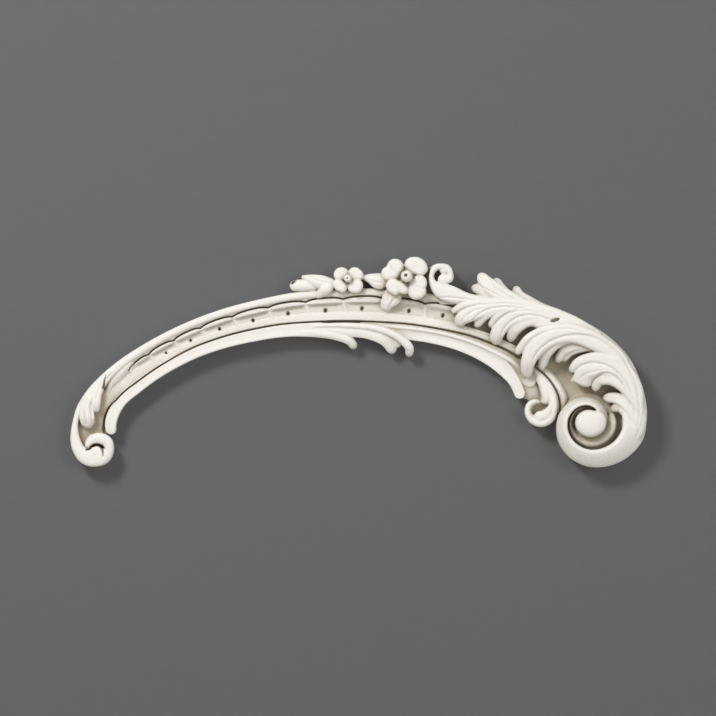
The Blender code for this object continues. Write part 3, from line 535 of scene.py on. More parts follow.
def scallops(carving):
    """A row of hollow shells, which grow from left to right."""
    for left, right in zip(NOTCHES[:-1], NOTCHES[1:]):
        count = max(25, int((along_of(right) - along_of(left)) / carving.spacing) | 1)
        rows, sides, u, dip = scallop_edge(left, right, count)
        (x, y, reach, fillet), (side_x, side_y) = rows.T[:, :, None], sides.T[:, :, None]
        u, dip = u[:, None], dip[:, None]
        v = np.linspace(0.0, 1.0, 33)[None, :]  # 0 at the upper edge, 1 at the fillet
        growth = reach / FULL_REACH
        rim = 0.06 + 0.07 * (1 - u**2) * growth
        inside = np.clip((v - rim) / (1 - rim), 0.0, 1.0)
        dish = smooth_step(inside / 0.34) * (1 - 0.86 * inside**1.7)  # steep under the lip, then slow
        bowl = (1 - np.abs(u) ** 5) * dish
        height = fillet + LIP_RISE * (1 - v) ** 1.2 * (0.6 + 0.4 * growth)
        height = height - carving.scallop_hollow / carving.height_unit * growth * bowl
        shift = dip - 1.0 + (reach - dip + 1.0) * v
        lean = LEAN * growth * v**1.3
        carving.stand(x - side_x * shift - side_y * lean, y - side_y * shift + side_x * lean, height)


def arch_grooves():
    """The thin dark lines above the scallops and along the inner rail: x, y, half width and depth."""
    grooves, count = [], 25
    for left, right in zip(NOTCHES[:-1], NOTCHES[1:]):
        rows, sides, _, dip = scallop_edge(left, right, count)
        line = rows[:, :2] - sides * (dip - 1.0)[:, None]
        half = 0.65 + 0.2 * rows[:, 2] / FULL_REACH
        grooves.append(np.column_stack([line, half, np.full(count, GROOVE_DEPTH)]))
    grooves.append([
        (103.2, 433, 0.9, 4), (103.6, 426, 1, 5), (105, 417, 1, 5), (108, 409.6, 0.8, 5.6),
        (116, 400, 0.8, 5.6), (125, 391, 0.8, 5.6), (135, 383.4, 0.8, 5.6), (155, 369, 0.8, 5.6),
        (175, 357, 0.8, 5.6), (195, 347, 0.8, 5.6), (215, 339.5, 0.8, 5.6), (235, 333.5, 0.8, 5.6),
        (255, 329, 0.8, 5.6), (275, 325.3, 0.8, 5.6), (300, 322.8, 0.8, 5.6), (330, 321.2, 0.8, 5.6),
        (360, 321.2, 0.8, 5.6), (390, 322.6, 0.8, 5.6), (410, 324.2, 0.8, 5.6), (430, 327.2, 0.8, 5.6),
        (450, 331, 1, 5), (470, 335.8, 1.1, 5), (490, 343, 1.2, 5), (505, 349.5, 1.2, 5),
        (520, 358.4, 1.2, 5),
    ])
    return grooves


def left_scroll(carving):
    """The hook of the small scroll at the left end, the floor beside it and the leaf tips above it."""
    carving.plate([
        (84, 402), (100, 392), (108, 398), (104, 412), (102, 430), (108, 440), (104, 455), (90, 460),
        (80, 450), (76, 436), (76.5, 418),
    ], 10.0)
    carving.rib([
        (84, 458, 5, 20), (92, 455, 7.4, 21), (97.4, 450.6, 6.8, 20.8), (99, 446, 4.8, 20),
    ], drop=(1.6, 1.6), soft=1.6)
    carving.rib([
        (88, 459, 5, 19), (97, 460, 6.6, 20), (105, 457, 6.2, 20.6), (109.4, 449.6, 4.7, 21),
        (107, 441.6, 5.4, 21), (99.6, 438.4, 5.6, 20.8), (92.6, 440, 5, 20.4), (88.6, 444.2, 3.6, 20),
        (88.2, 448.6, 2.6, 18.8),
    ], drop=(3.0, 2.8), soft=1.7)
    for stations in (
        [(124, 363.5, 2.4, 17.6), (112, 372.5, 3.4, 18.4), (101.5, 383.5, 4.4, 19.2),
         (93.4, 396, 6.6, 19.7), (88.6, 407, 7.2, 19.9), (87, 416, 6, 19.2)],
        [(109, 376, 2, 18.2), (102.2, 385, 3.4, 19.6), (97.2, 395, 4.8, 20.3), (95.8, 405, 4.8, 20.3),
         (96.2, 412.8, 3.5, 17)],
        [(91, 395, 5.6, 20.2), (86.6, 408, 6.6, 20.6), (87.2, 418, 7.6, 20.6), (88.6, 428.4, 5.2, 16.5)],
    ):
        carving.rib(stations, drop=(2.4, 2.4), power=3.2, soft=1.3)
    carving.rib([
        (134, 360.4, 3, 17.4), (124, 368.6, 6.4, 17.4), (115.6, 377, 7.4, 16.4), (110, 386, 5.6, 14.4),
        (108, 396, 3.6, 11.6),
    ], drop=(5.0, 5.0), foot_width=1.0)


def large_volute(carving):
    """The volute that the leaf rolls into: a rail that winds in to a round boss, and a bead beside it."""
    centre = (588.0, 423.0)
    rail = polar(
        centre,
        [(-40, 46, 8, 26), (-15, 46, 11.4, 28), (10, 46, 11.8, 29.4), (40, 41.6, 10.4, 30.5),
         (65, 37.8, 9.4, 31), (90, 34.8, 8.5, 31), (115, 31.8, 7.6, 30.6), (140, 29.2, 6.6, 30),
         (165, 27, 5.6, 29.4), (195, 25.4, 4.9, 28.6), (230, 23.6, 4.4, 27.8), (270, 21.6, 4, 27.4),
         (300, 19.6, 4, 27.4), (325, 17.4, 4.4, 27), (350, 14.4, 4.4, 25.6), (380, 11, 4, 23)],
    )
    carving.rib(rail, drop=(9.0, 2.0), crest=-0.72, power=1.35, soft=1.1, foot_width=1.0)
    bead = polar(
        centre,
        [(-25, 25, 2.5, 18), (-10, 24.2, 4.2, 19.8), (15, 23, 5, 20.8), (45, 21, 5.2, 21.2),
         (90, 18.9, 5, 21.2), (135, 17.2, 3.4, 20.4), (180, 17, 2, 19.4), (230, 16.6, 1.2, 18),
         (262, 16, 0.8, 16)],
    )
    carving.rib(bead, drop=(3.0, 6.0), crest=0.5, power=1.7, soft=1.2, foot_width=1.0)
    button = polar(centre, [
        (0, 18), (25, 17), (50, 15.2), (90, 13.8), (135, 13.2), (180, 13.2), (225, 13.2), (270, 13.2),
        (290, 13.4), (303, 14.4), (315, 16.4), (328, 17.8), (343, 18.3),
    ])
    carving.boss(centre, button, 31.5, 6.0)
    floor = polar(centre, [(angle, 15.0, 15.0, 10.0) for angle in range(0, 361, 30)])
    carving.rib(floor, drop=(0, 0), ends=(False, False), foot_width=1.0)


def small_volute(carving):
    """The scroll that the inner rail of the leaf rolls into, and the leaf end beside it."""
    carving.rib([
        (530, 366, 2.6, 13.5), (539, 376, 4.2, 15), (547, 387, 5.6, 16), (552, 398, 5, 17),
        (553, 408.5, 4.4, 18), (549.6, 417.6, 5.2, 18.5), (541.4, 422.4, 4.8, 18.5),
        (532.6, 419.8, 4.2, 18), (527.9, 412, 3.3, 17.4), (529.6, 405.2, 3.3, 16.6),
        (535.6, 401.8, 2.8, 15.4), (540.6, 403.2, 1.8, 13),
    ], drop=(2.6, 4.0), crest=0.2, soft=1.5)
    carving.rib([
        (551.6, 401.6, 1.5, 17), (549.8, 408.2, 3, 18.4), (545, 414.4, 4.8, 19.2), (538.8, 416.8, 5.4, 19),
        (533.4, 417.4, 3.8, 17),
    ], drop=(3.0, 3.0), power=2.6, soft=1.6)
    carving.rib([
        (537, 377, 2.6, 14), (543.4, 386.6, 4.2, 16), (546.4, 396, 4.8, 16.4), (545.4, 404.6, 4.6, 14.5),
    ], drop=(2.4, 2.4), blunt=0.5)
    carving.plate([
        (520, 385), (542, 382), (556, 396), (557, 410), (552, 420), (541, 425), (530, 421), (526, 410),
        (529, 400), (518, 397),
    ], carving.ground + 0.5)
    carving.rib([
        (536, 361, 2.8, 12), (550.2, 375, 3.4, 14), (559.6, 387.4, 3.6, 14.5), (564.4, 398, 3.2, 14),
        (564.6, 408, 2.4, 12),
    ], drop=(4.0, 1.4), crest=-0.3)
    carving.rib([
        (531, 362, 3, 12), (545, 374, 4, 13), (555, 387, 4.6, 13.4), (560, 400, 4, 13),
        (560.4, 414, 3.4, 12),
    ], drop=(0.6, 0.6), foot_width=1.0)


def acanthus(carving):
    """The large leaf: lobes that leave the outer rim one after another and curl down to their tips."""
    rim = [
        (622, 452, 1.6, 20), (631, 443, 4.4, 23.6), (637, 430, 7.2, 26.6), (639.2, 414, 7.4, 28.4),
        (638, 400, 7.2, 28.8), (634, 385, 7, 29), (624, 363, 7, 29.5), (607, 344.5, 7, 29.8),
        (583, 328.8, 7, 29.8), (556, 317.2, 7, 29.2), (530, 307.6, 7, 28.4), (502, 302.4, 6, 26.6),
        (484, 302, 4.6, 25),
    ]
    carving.rib(rim, drop=(3.0, 4.0), power=2.6, soft=1.6, foot_width=1.0)
    lobes = [
        # first lobe
        [(535, 305.5, 3, 27.4), (502, 301.8, 4, 26.6), (476, 303.4, 4, 25.6), (462, 306.2, 3.8, 24.4),
         (451.4, 312.4, 2.9, 20)],
        [(570, 318, 4, 29), (522, 305.6, 7, 28.4), (492, 307.4, 8, 27.2), (473, 312.6, 8.2, 25.4),
         (462.4, 318.2, 7, 23.4), (456.4, 326, 4.8, 18)],
        [(565, 317, 3.4, 29.2), (522, 306.6, 4.8, 28.6), (500, 309, 4.6, 27.4), (486, 314.6, 4.8, 25.6),
         (474.8, 326.8, 4, 19.5)],
        # second lobe
        [(575, 322, 3, 30), (526, 309.6, 3.6, 28.8), (504, 311.4, 3.6, 27.4), (495.4, 317.6, 3.8, 25.6),
         (489.6, 327.4, 3.2, 20.6)],
        [(602, 338, 5, 31), (566, 320.4, 7.5, 31), (536, 312.4, 8.6, 30), (513.5, 316.6, 9, 27.8),
         (501.4, 326, 7.8, 25.2), (496.6, 335.5, 6.8, 22.4), (495.6, 345, 5.2, 17)],
        [(600, 337, 4, 31), (570, 323.6, 6, 31.2), (541, 317.4, 7.2, 29.8), (523, 321.6, 7.4, 27.6),
         (513.6, 331, 6, 24.4), (509.8, 341.8, 4.4, 18)],
        [(602, 339, 4, 31.4), (578, 327.4, 6, 31.6), (554, 322, 7, 30.8), (539, 321.8, 6.6, 29.2),
         (525, 319.2, 5, 25)],
        # third lobe
        [(604, 341, 3, 32), (574, 328.6, 4.5, 32.8), (548, 330, 5, 31.6), (529, 338.8, 5.2, 28.8),
         (516.2, 354.4, 4, 22)],
        [(632.6, 385, 4, 30), (619, 358.8, 7, 32.2), (595.6, 342.2, 9, 34), (568, 333.2, 9.6, 34.4),
         (545, 339.6, 9.6, 32.4), (532.6, 351.6, 8.8, 29.4), (527.4, 364, 7, 25.6),
         (527.2, 378.2, 5.2, 17.5)],
        [(624, 360, 3.6, 31), (603, 343.5, 4.6, 32.4), (577, 336.4, 5.8, 33.2), (558, 341, 6.4, 31.2),
         (546.6, 352.2, 5.8, 27.4), (540.6, 370, 3.8, 18.5)],
        # fourth lobe
        [(622, 360, 3, 29.5), (602, 347.8, 3.8, 29.8), (581, 345.8, 4.6, 28.8), (565, 350, 5, 26.4),
         (556.6, 362.2, 4, 20)],
        [(618, 357, 2.4, 29), (598, 348.8, 3, 29), (581, 349.2, 3.4, 27.8), (570.8, 352.4, 3.6, 25.2),
         (562.8, 361.2, 2.8, 20)],
        # fifth lobe
        [(638, 404, 3.4, 27), (630, 374, 4.6, 31.8), (612, 359.2, 5, 33.2), (591, 357.8, 5.4, 31.8),
         (576.8, 363.6, 5, 28.6), (570.4, 372.4, 3.6, 24)],
        [(636, 429, 3, 25.6), (637.6, 407, 6, 30.6), (625.6, 387, 7.4, 31.8), (609, 378.2, 6.8, 30.8),
         (598.6, 380.8, 5.4, 28), (594, 391, 4, 22)],
        # sixth lobe
        [(633.6, 437, 2.6, 24.4), (636, 422, 5.6, 29), (630, 407.6, 7, 29.4), (618, 398.8, 6, 27.8),
         (603, 397.6, 4.2, 22)],
        [(631, 442, 3, 24), (633.6, 428, 5, 28.2), (628.6, 415, 6.2, 27.8), (619.4, 407, 5.4, 25.8),
         (610.8, 409.8, 3.8, 21)],
    ]
    for stations in lobes:
        carving.rib(stations, **BLADE, blunt=1.4)
    carving.rib([
        (637, 421, 3.4, 26), (635.6, 392, 7.6, 31.4), (619, 370, 10, 33), (600, 364.4, 10.4, 32.6),
        (586, 371.6, 10, 29.6), (580.4, 385.6, 9.4, 23.5),
    ], **BLADE, blunt=0.35)


def upper_leaf(carving):
    """The leaf tips on the back of the large leaf, and its stem with the curl at its end."""
    for stations in (
        [(545, 309, 4, 26.6), (516, 300.6, 6.4, 26.4), (500, 293, 7.6, 25.8), (488.6, 285.2, 7.4, 24.2),
         (478.6, 273.6, 5, 18.6)],
        [(528, 304, 4, 25.6), (506, 298.4, 5.8, 24.8), (491, 293.6, 6.6, 23.4), (481, 289.8, 6, 21.4),
         (471.6, 287, 4, 17.5)],
        [(545, 309, 4, 27), (521, 302.4, 5.6, 26.4), (507.4, 296.4, 6.2, 25.8), (500, 289, 6.2, 23.8),
         (494.6, 278.2, 4.8, 19)],
        [(562, 316, 4, 28), (541, 308.2, 5.4, 27.2), (527.6, 301.2, 5.6, 25.8), (519.2, 294.8, 4.8, 23),
         (514.8, 286.2, 4.2, 19)],
    ):
        carving.rib(stations, **BLADE, blunt=1.25)
    carving.rib([
        (500, 302, 4.6, 25), (474, 299.6, 4.6, 25), (455, 298.4, 5.8, 23.5), (437.6, 300, 5, 17),
    ], drop=(3.0, 3.0))
    carving.rib([
        (488, 300.8, 3.8, 24.6), (468, 298.4, 5.2, 24.8), (451, 294.2, 8.4, 25), (439, 289.2, 7.4, 24.6),
        (432.2, 281.6, 3.4, 24), (431.6, 274.4, 2.6, 23.8), (434.8, 268.2, 3.4, 23.8),
        (441, 266.6, 3.2, 24), (447.2, 268.2, 3.4, 24), (450, 273.6, 3.3, 24), (449.4, 279, 3.6, 24),
        (445.4, 281.2, 3.2, 24),
    ], drop=(3.2, 3.2), power=2.6, soft=1.7)
    carving.dome((443.6, 279.8), 5.8, 24.2, 2.6)
    carving.rib([
        (446, 266.8, 4, 23.6), (444, 270.6, 4.6, 23.6), (442.4, 274.6, 3.2, 22.4),
    ], drop=(2.4, 2.4), soft=1.6)


def flowers(carving):
    """Two four-petalled flowers on the crown of the arch, with their leaves and a rolled bud."""
    carving.dome((404.5, 278), 13, 21.5, 1.0)
    carving.dome((348.5, 280), 9, 17.5, 1.0)
    petals = [
        # centre, outline, height, drop to the edge, hollow
        ((392.4, 269.6), [
            (401, 273), (404, 265.5), (400, 260), (393, 258.9), (388.6, 262), (386.6, 266.8), (382.6, 269),
            (381.4, 275), (384, 279.6), (391, 280.8), (397, 279),
        ], 28.0, 5.4, 1.6),
        ((415.4, 266.4), [
            (404.2, 264.6), (407, 259), (414, 257), (421.6, 259), (427, 265), (427.6, 271), (423, 275.6),
            (416, 274.6), (409.6, 271.8),
        ], 28.5, 5.4, 1.6),
        ((417.4, 287.2), [
            (411.6, 279.4), (417, 275.4), (424, 276.4), (427, 282), (425.4, 288), (426.2, 293),
            (421, 298.6), (413, 299.6), (408.4, 295.6), (408.6, 289),
        ], 29.0, 5.4, 1.8),
        ((396.0, 287.0), [
            (386, 284.6), (390, 279.2), (398, 280.6), (404.6, 284.6), (408.4, 289.6), (407.4, 294),
            (402.4, 294.4), (399.4, 292.9), (396.4, 295.8), (390.4, 293.4), (386.6, 289.4),
        ], 30.0, 5.2, 1.2),
        ((341.0, 274.2), [
            (347.4, 275), (347.6, 270), (343, 267.4), (337, 268.6), (333.8, 273.4), (334.6, 278.6),
            (339, 281), (344, 279.4),
        ], 23.5, 4.4, 1.2),
        ((356.0, 274.2), [
            (349, 275.4), (349, 269.8), (354, 267.2), (360, 269.6), (363.6, 275), (362.4, 279),
            (357, 280.4), (352, 279.2),
        ], 23.5, 4.4, 1.2),
        ((340.0, 285.8), [
            (333, 283.4), (335.4, 279.6), (340.6, 280.2), (345, 283.6), (347, 289), (344.6, 292.6),
            (338.6, 291.6), (334.4, 288),
        ], 25.0, 4.4, 0.8),
        ((355.2, 286.4), [
            (350.4, 281.2), (356.4, 279.4), (362, 281.6), (363, 287), (360.4, 291.6), (354, 293.4),
            (348.8, 291), (347.6, 286),
        ], 24.5, 4.4, 1.0),
    ]
    for centre, outline, height, drop, hollow in petals:
        carving.boss(centre, outline, height, drop, hollow)
    carving.dome((406.6, 276.5), 5.9, 35.0, 5.0)
    carving.dome((347.8, 278.6), 3.9, 29.0, 3.6)
    leaves = [
        [(397, 288, 6.0, 21), (392.4, 296.5, 9.4, 22), (387.2, 304, 7.0, 20.6), (384.8, 311.6, 3.4, 16.5)],
        [(388, 281.5, 6.0, 22), (378, 281.0, 8.0, 22.5), (369.4, 278.4, 4.8, 21), (361.2, 277.4, 1.3, 18)],
        [(336, 284, 4.0, 21), (322, 282.4, 7.0, 22.5), (311, 279.3, 5.0, 21.5), (301.4, 276.6, 1.3, 19)],
        [(333, 283, 4.4, 21.5), (326.4, 288.4, 6, 23.5), (321, 293.4, 4.6, 21), (316.6, 299, 2, 16.5)],
    ]
    for stations in leaves:
        carving.rib(stations, drop=(3.0, 3.0), soft=1.4, foot_width=0.85)
    carving.rib([
        (319, 286.5, 4.6, 19), (304, 285.6, 6.2, 21), (289.6, 286, 5.4, 19.5),
    ], drop=(4.4, 4.4), soft=1.9)


def scallop_eyes(sizes):
    """The scallops' drilled eyes: x, y, direction of the long axis, half length and half width."""
    radius = sizes.eye_radius / units_of(sizes)[0]
    return [(x, y, angle, 1.3 * size * radius, size * radius) for x, y, angle, size in EYES]


# the holes in the two flowers' buttons and in the bud's end, and the slit in the leaf
FLOWER_EYES = [(405.6, 275.6, 0, 1.7, 1.7), (347.3, 278.3, 0, 0.8, 0.8), (293.6, 282.2, -38, 3.2, 1.4)]
LEAF_SLIT = [(554.6, 320.2, -16, 4.6, 1.7)]

# The lines below are paths of x, y, half width and depth, all in drawing units
SCROLL_LINE = [
    [(86.4, 449.8, 0.8, 3), (89.2, 449, 1.1, 5), (91.8, 446.4, 1.3, 5.6), (95.6, 444.8, 1.4, 5.6),
     (99.4, 445.4, 1.3, 5.2), (102, 448.4, 1.1, 4.2), (103.2, 452.4, 0.9, 2.8), (102.6, 458.4, 0.6, 0.6)],
    [(106, 375, 0.4, 0.4), (104.4, 382, 0.9, 2.0), (103.4, 388, 1.3, 2.6)],
]
SCROLL_CREASES = [
    [(86, 404, 1.6, 0.2), (84.6, 412, 2.2, 1.3), (86.2, 424, 2.2, 1.6)],
    [(94, 396, 1.6, 0.2), (91.0, 405, 2.2, 1.5), (91.4, 414, 2.2, 1.6), (92.6, 424, 2.0, 1.0)],
    [(104, 376, 1.4, 0.4), (99.5, 388, 2.0, 1.0), (96, 399, 2.0, 0.8)],
    [(113, 372, 1.6, 0.4), (106, 381, 2.2, 1.6), (104, 390, 2.0, 1.6)],
]
STRIP_LINE = [
    [(534, 366, 0.6, 2), (544, 374.2, 0.8, 3.6), (552, 383.4, 0.9, 4), (557.4, 393, 0.9, 4.4),
     (560, 403, 1, 4.4), (560.2, 413, 1, 3.4)],
]
LEAF_CREASES = [
    # below the rim, from the third lobe round to the volute
    [(531, 365, 1.6, 0.4), (535.6, 354, 2.4, 1.4), (543.4, 345.6, 2.6, 1.8), (554, 339.2, 2.6, 1.8),
     (568, 335.4, 2.6, 1.8), (583, 335, 2.6, 1.7), (598, 338.8, 2.6, 1.6), (612, 348, 2.6, 1.5),
     (624, 361.6, 2.6, 1.4), (632.6, 379, 2.6, 1.4), (637.4, 398, 2.6, 1.2), (638.6, 415, 2.4, 0.8),
     (637, 429, 2, 0.2)],
    [(521, 352, 1.4, 0.5), (527, 343.4, 2, 1.2), (537, 335.4, 2.2, 1.3), (552, 329.8, 2.2, 1.2),
     (570, 328.8, 2.2, 0.9), (588, 333, 2, 0.2)],
    # the fifth lobe
    [(574, 371, 1.4, 0.5), (581, 365.4, 2.2, 1.3), (592, 362.8, 2.4, 1.5), (604, 364.4, 2.4, 1.5),
     (615.6, 371.4, 2.4, 1.4), (625, 383, 2.4, 1.3), (631, 397.6, 2.4, 1.1), (633.2, 413, 2.2, 0.8),
     (631.4, 427, 2, 0.2)],
    [(591, 384.4, 1.4, 0.8), (595, 377.6, 2.2, 1.6), (604, 373, 2.4, 1.6), (614.6, 376.4, 2.4, 1.4),
     (623.6, 386.6, 2.4, 1.3), (628.6, 400, 2.2, 1), (628.8, 414, 2, 0.2)],
    [(577, 380, 1.4, 0.3), (584, 374.6, 2, 0.8), (594, 371.4, 2, 0.8), (606, 369.4, 2, 0.2)],
    # the first and the second lobe
    [(454.5, 313.2, 1.2, 0.6), (463, 308.8, 1.8, 1.1), (475, 305.6, 2, 1.1), (490, 304, 2, 1),
     (508, 303.6, 2, 0.7), (528, 307, 1.8, 0.1)],
    [(471.4, 321.6, 1.2, 0.8), (477, 315.4, 1.8, 1.3), (487, 309.8, 2, 1.3), (500, 307, 2, 1.2),
     (516, 307.8, 2, 0.9), (536, 313, 1.8, 0.1)],
    [(461, 323, 1.2, 0.3), (465, 316.8, 1.8, 0.9), (474, 310.8, 1.8, 0.9), (487, 307.0, 1.8, 0.1)],
    [(500.4, 342, 1.4, 0.8), (501.6, 333, 2, 1.4), (507, 324.4, 2.2, 1.5), (516.6, 317.6, 2.2, 1.5),
     (529, 315, 2.2, 1.3), (544, 317.8, 2.2, 1), (562, 325, 2, 0.1)],
    [(490.6, 335, 1.2, 0.4), (493.4, 326, 1.8, 1.1), (500, 317.8, 2, 1.2), (510, 312.4, 2, 1.1),
     (524, 310.8, 2, 0.9), (540, 313.6, 1.8, 0.1)],
    # the tips on the leaf's back, and the stem
    [(475.4, 283.6, 1.2, 0.6), (484, 288.0, 1.8, 1.1), (494, 293.4, 2.0, 1.2), (508, 299.4, 1.8, 0.1)],
    [(482, 276, 1.2, 0.2), (488, 283.4, 1.8, 0.8), (498, 291.6, 1.8, 0.9), (512, 299.6, 1.6, 0.1)],
    [(490.4, 279.6, 1.2, 0.8), (496, 286.6, 2.0, 1.3), (504, 293.6, 2.0, 1.3), (518, 300.8, 1.8, 0.1)],
    [(438, 297.6, 1.2, 0.6), (449, 297.6, 1.8, 1.0), (463, 299.0, 1.8, 0.9), (481, 300.6, 1.6, 0.1)],
]
PETAL_CREASES = [
    [(402, 290, 1.4, 0.2), (395, 297.6, 2.2, 1.3), (388.6, 307.6, 1.8, 0.6)],
    [(386, 283, 1.4, 0.2), (377, 282.4, 1.8, 0.9), (367, 278.4, 1.4, 0.3)],
    [(331, 283.4, 1.2, 0.2), (321, 281.4, 1.8, 0.9), (308, 278.4, 1.4, 0.3)],
    [(388.6, 264, 1.4, 1.0), (392, 269, 2.2, 0.9), (397, 273, 1.6, 0.2)],
    [(425.4, 289, 1.2, 1.0), (420, 287.6, 2.0, 0.7), (415, 286, 1.4, 0.1)],
    [(400, 293, 1.2, 1.0), (398.6, 288.6, 1.8, 0.6), (397, 285, 1.2, 0.1)],
]


def apply_modifiers(obj):
    """Makes what the modifiers show the object's own mesh."""
    graph = bpy.context.evaluated_depsgraph_get()
    obj.data = bpy.data.meshes.new_from_object(obj.evaluated_get(graph))
    obj.modifiers.clear()


def points_of(mesh):
    """The mesh's points as an array."""
    points = np.empty(len(mesh.vertices) * 3)
    mesh.vertices.foreach_get("co", points)
    return points.reshape(-1, 3)


def drill(mesh, sizes, eyes):
    """Presses the drilled eyes into the front of the fused carving."""
    points = points_of(mesh)
    x, y = on_drawing(points[:, 0], points[:, 2], units_of(sizes)[0])
    front = points[:, 1] < -NEVER_PRESSED * sizes.plate
    for eye_x, eye_y, angle, long_half, short_half in eyes:
        c, s = math.cos(math.radians(angle)), math.sin(math.radians(angle))
        dx, dy = x - eye_x, y - eye_y
        away = np.hypot((dx * c + dy * s) / long_half, (dy * c - dx * s) / short_half)
        depth = sizes.eye_depth * smooth_step((1.2 - away) / 0.45)  # full to 0.75 of the size, none past 1.2
        points[:, 1] += np.where(front, depth, 0.0)
    mesh.vertices.foreach_set("co", points.ravel())


def tree_of(lines):
    """A search tree of points along the lines, with their widths and depths."""
    step = 0.4
    rows = np.concatenate([flow(line, np.arange(0.0, length_of(line), step)) for line in lines])
    tree = KDTree(len(rows))
    for k, row in enumerate(rows):
        tree.insert((row[0], row[1], 0.0), k)
    tree.balance()
    return tree, rows


def press_lines(mesh, sizes, lines, flat):
    """Presses lines into the front: flat-bottomed grooves, or creases that run to a sharp bottom."""
    unit, height_unit = units_of(sizes)
    tree, rows = tree_of(lines)
    points = points_of(mesh)
    rounding = 0.3  # a groove's edges are rounded by this share of its half width, outwards and inwards
    widest = rows[:, 2].max() * (1 + rounding)
    for k, (x, y, z) in enumerate(points):
        if y > -NEVER_PRESSED * sizes.plate:
            continue
        _, nearest, away = tree.find((*on_drawing(x, z, unit), 0.0))
        if away > widest:
            continue
        away /= rows[nearest, 2]
        if flat:
            share = float(smooth_step((1 + rounding - away) / (2 * rounding)))
        else:
            share = max(0.0, 1.0 - away) ** 1.6
        points[k, 1] = min(y + share * rows[nearest, 3] * height_unit, max(y, -0.6 * sizes.plate))
    mesh.vertices.foreach_set("co", points.ravel())


def cut_back_flat(mesh, depth):
    """Cuts off what lies behind the piece's back, and closes the cut with flat triangles."""
    bm = bmesh.new()
    bm.from_mesh(mesh)
    everything = bm.verts[:] + bm.edges[:] + bm.faces[:]
    bmesh.ops.bisect_plane(
        bm, geom=everything, dist=1e-6, plane_co=(0, -depth, 0), plane_no=(0, 1, 0), clear_outer=True
    )
    edges = [edge for edge in bm.edges if edge.is_boundary]
    bmesh.ops.triangle_fill(bm, use_beauty=True, edges=edges, normal=(0, 1, 0))
    bmesh.ops.recalc_face_normals(bm, faces=bm.faces)
    bm.to_mesh(mesh)
    bm.free()


def smoothing(piece, name, times):
    """Adds a modifier that smooths the piece a number of times."""
    modifier = piece.modifiers.new(name, "SMOOTH")
    modifier.factor = 0.5
    modifier.iterations = times


def cast(context, name, shapes, eyes=(), grooves=(), creases=()):
    """Fuses the shapes to one closed skin, drills and presses it, softens it and cuts its back flat."""
    triangles, back = PIECES[name]
    sizes = context.scene.moulding_sizes
    carving = Carving(sizes)
    for shape in shapes:
        shape(carving)
    piece = bpy.data.objects.new(name, carving.mesh())
    context.scene.collection.objects.link(piece)
    remesh = piece.modifiers.new("fuse", "REMESH")
    remesh.mode = "VOXEL"
    remesh.voxel_size = sizes.grid
    smoothing(piece, "ease", 1)
    apply_modifiers(piece)
    drill(piece.data, sizes, eyes)
    if creases:
        press_lines(piece.data, sizes, creases, False)
    if grooves:
        press_lines(piece.data, sizes, grooves, True)
    smoothing(piece, "soften", 4 if creases and not grooves else 2)
    thin = piece.modifiers.new("thin", "DECIMATE")
    thin.ratio = min(1.0, triangles / sum(len(face.vertices) - 2 for face in piece.data.polygons))
    apply_modifiers(piece)
    cut_back_flat(piece.data, back)
    points = np.clip(points_of(piece.data), CAD_LOW, CAD_HIGH)
    piece.data.vertices.foreach_set("co", points.ravel())
    piece.data.update()
    piece.data.shade_smooth()
    piece.data.set_sharp_from_angle(angle=SHARP_EDGE)
    piece["cast_piece"] = True
    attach(piece, "root")
    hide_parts("moulding")


def add_node(tree, kind, settings=None, inputs=None, links=None):
    """Adds one node with its settings, its fixed inputs and the links into it."""
    node = tree.nodes.new(kind)
    for key, value in (settings or {}).items():
        setattr(node, key, value)
    for key, value in (inputs or {}).items():
        node.inputs[key].default_value = value
    for key, output in (links or {}).items():
        tree.links.new(output, node.inputs[key])
    return node


def per_metre(millimetres):
    """The scale of a pattern whose features are this many millimetres wide."""
    return 1000.0 / millimetres


def noise(tree, place, millimetres, detail, roughness=0.5):
    """The values of a noise pattern of this width."""
    inputs = {"Scale": per_metre(millimetres), "Detail": detail, "Roughness": roughness}
    return add_node(tree, "ShaderNodeTexNoise", {}, inputs, {"Vector": place}).outputs["Fac"]


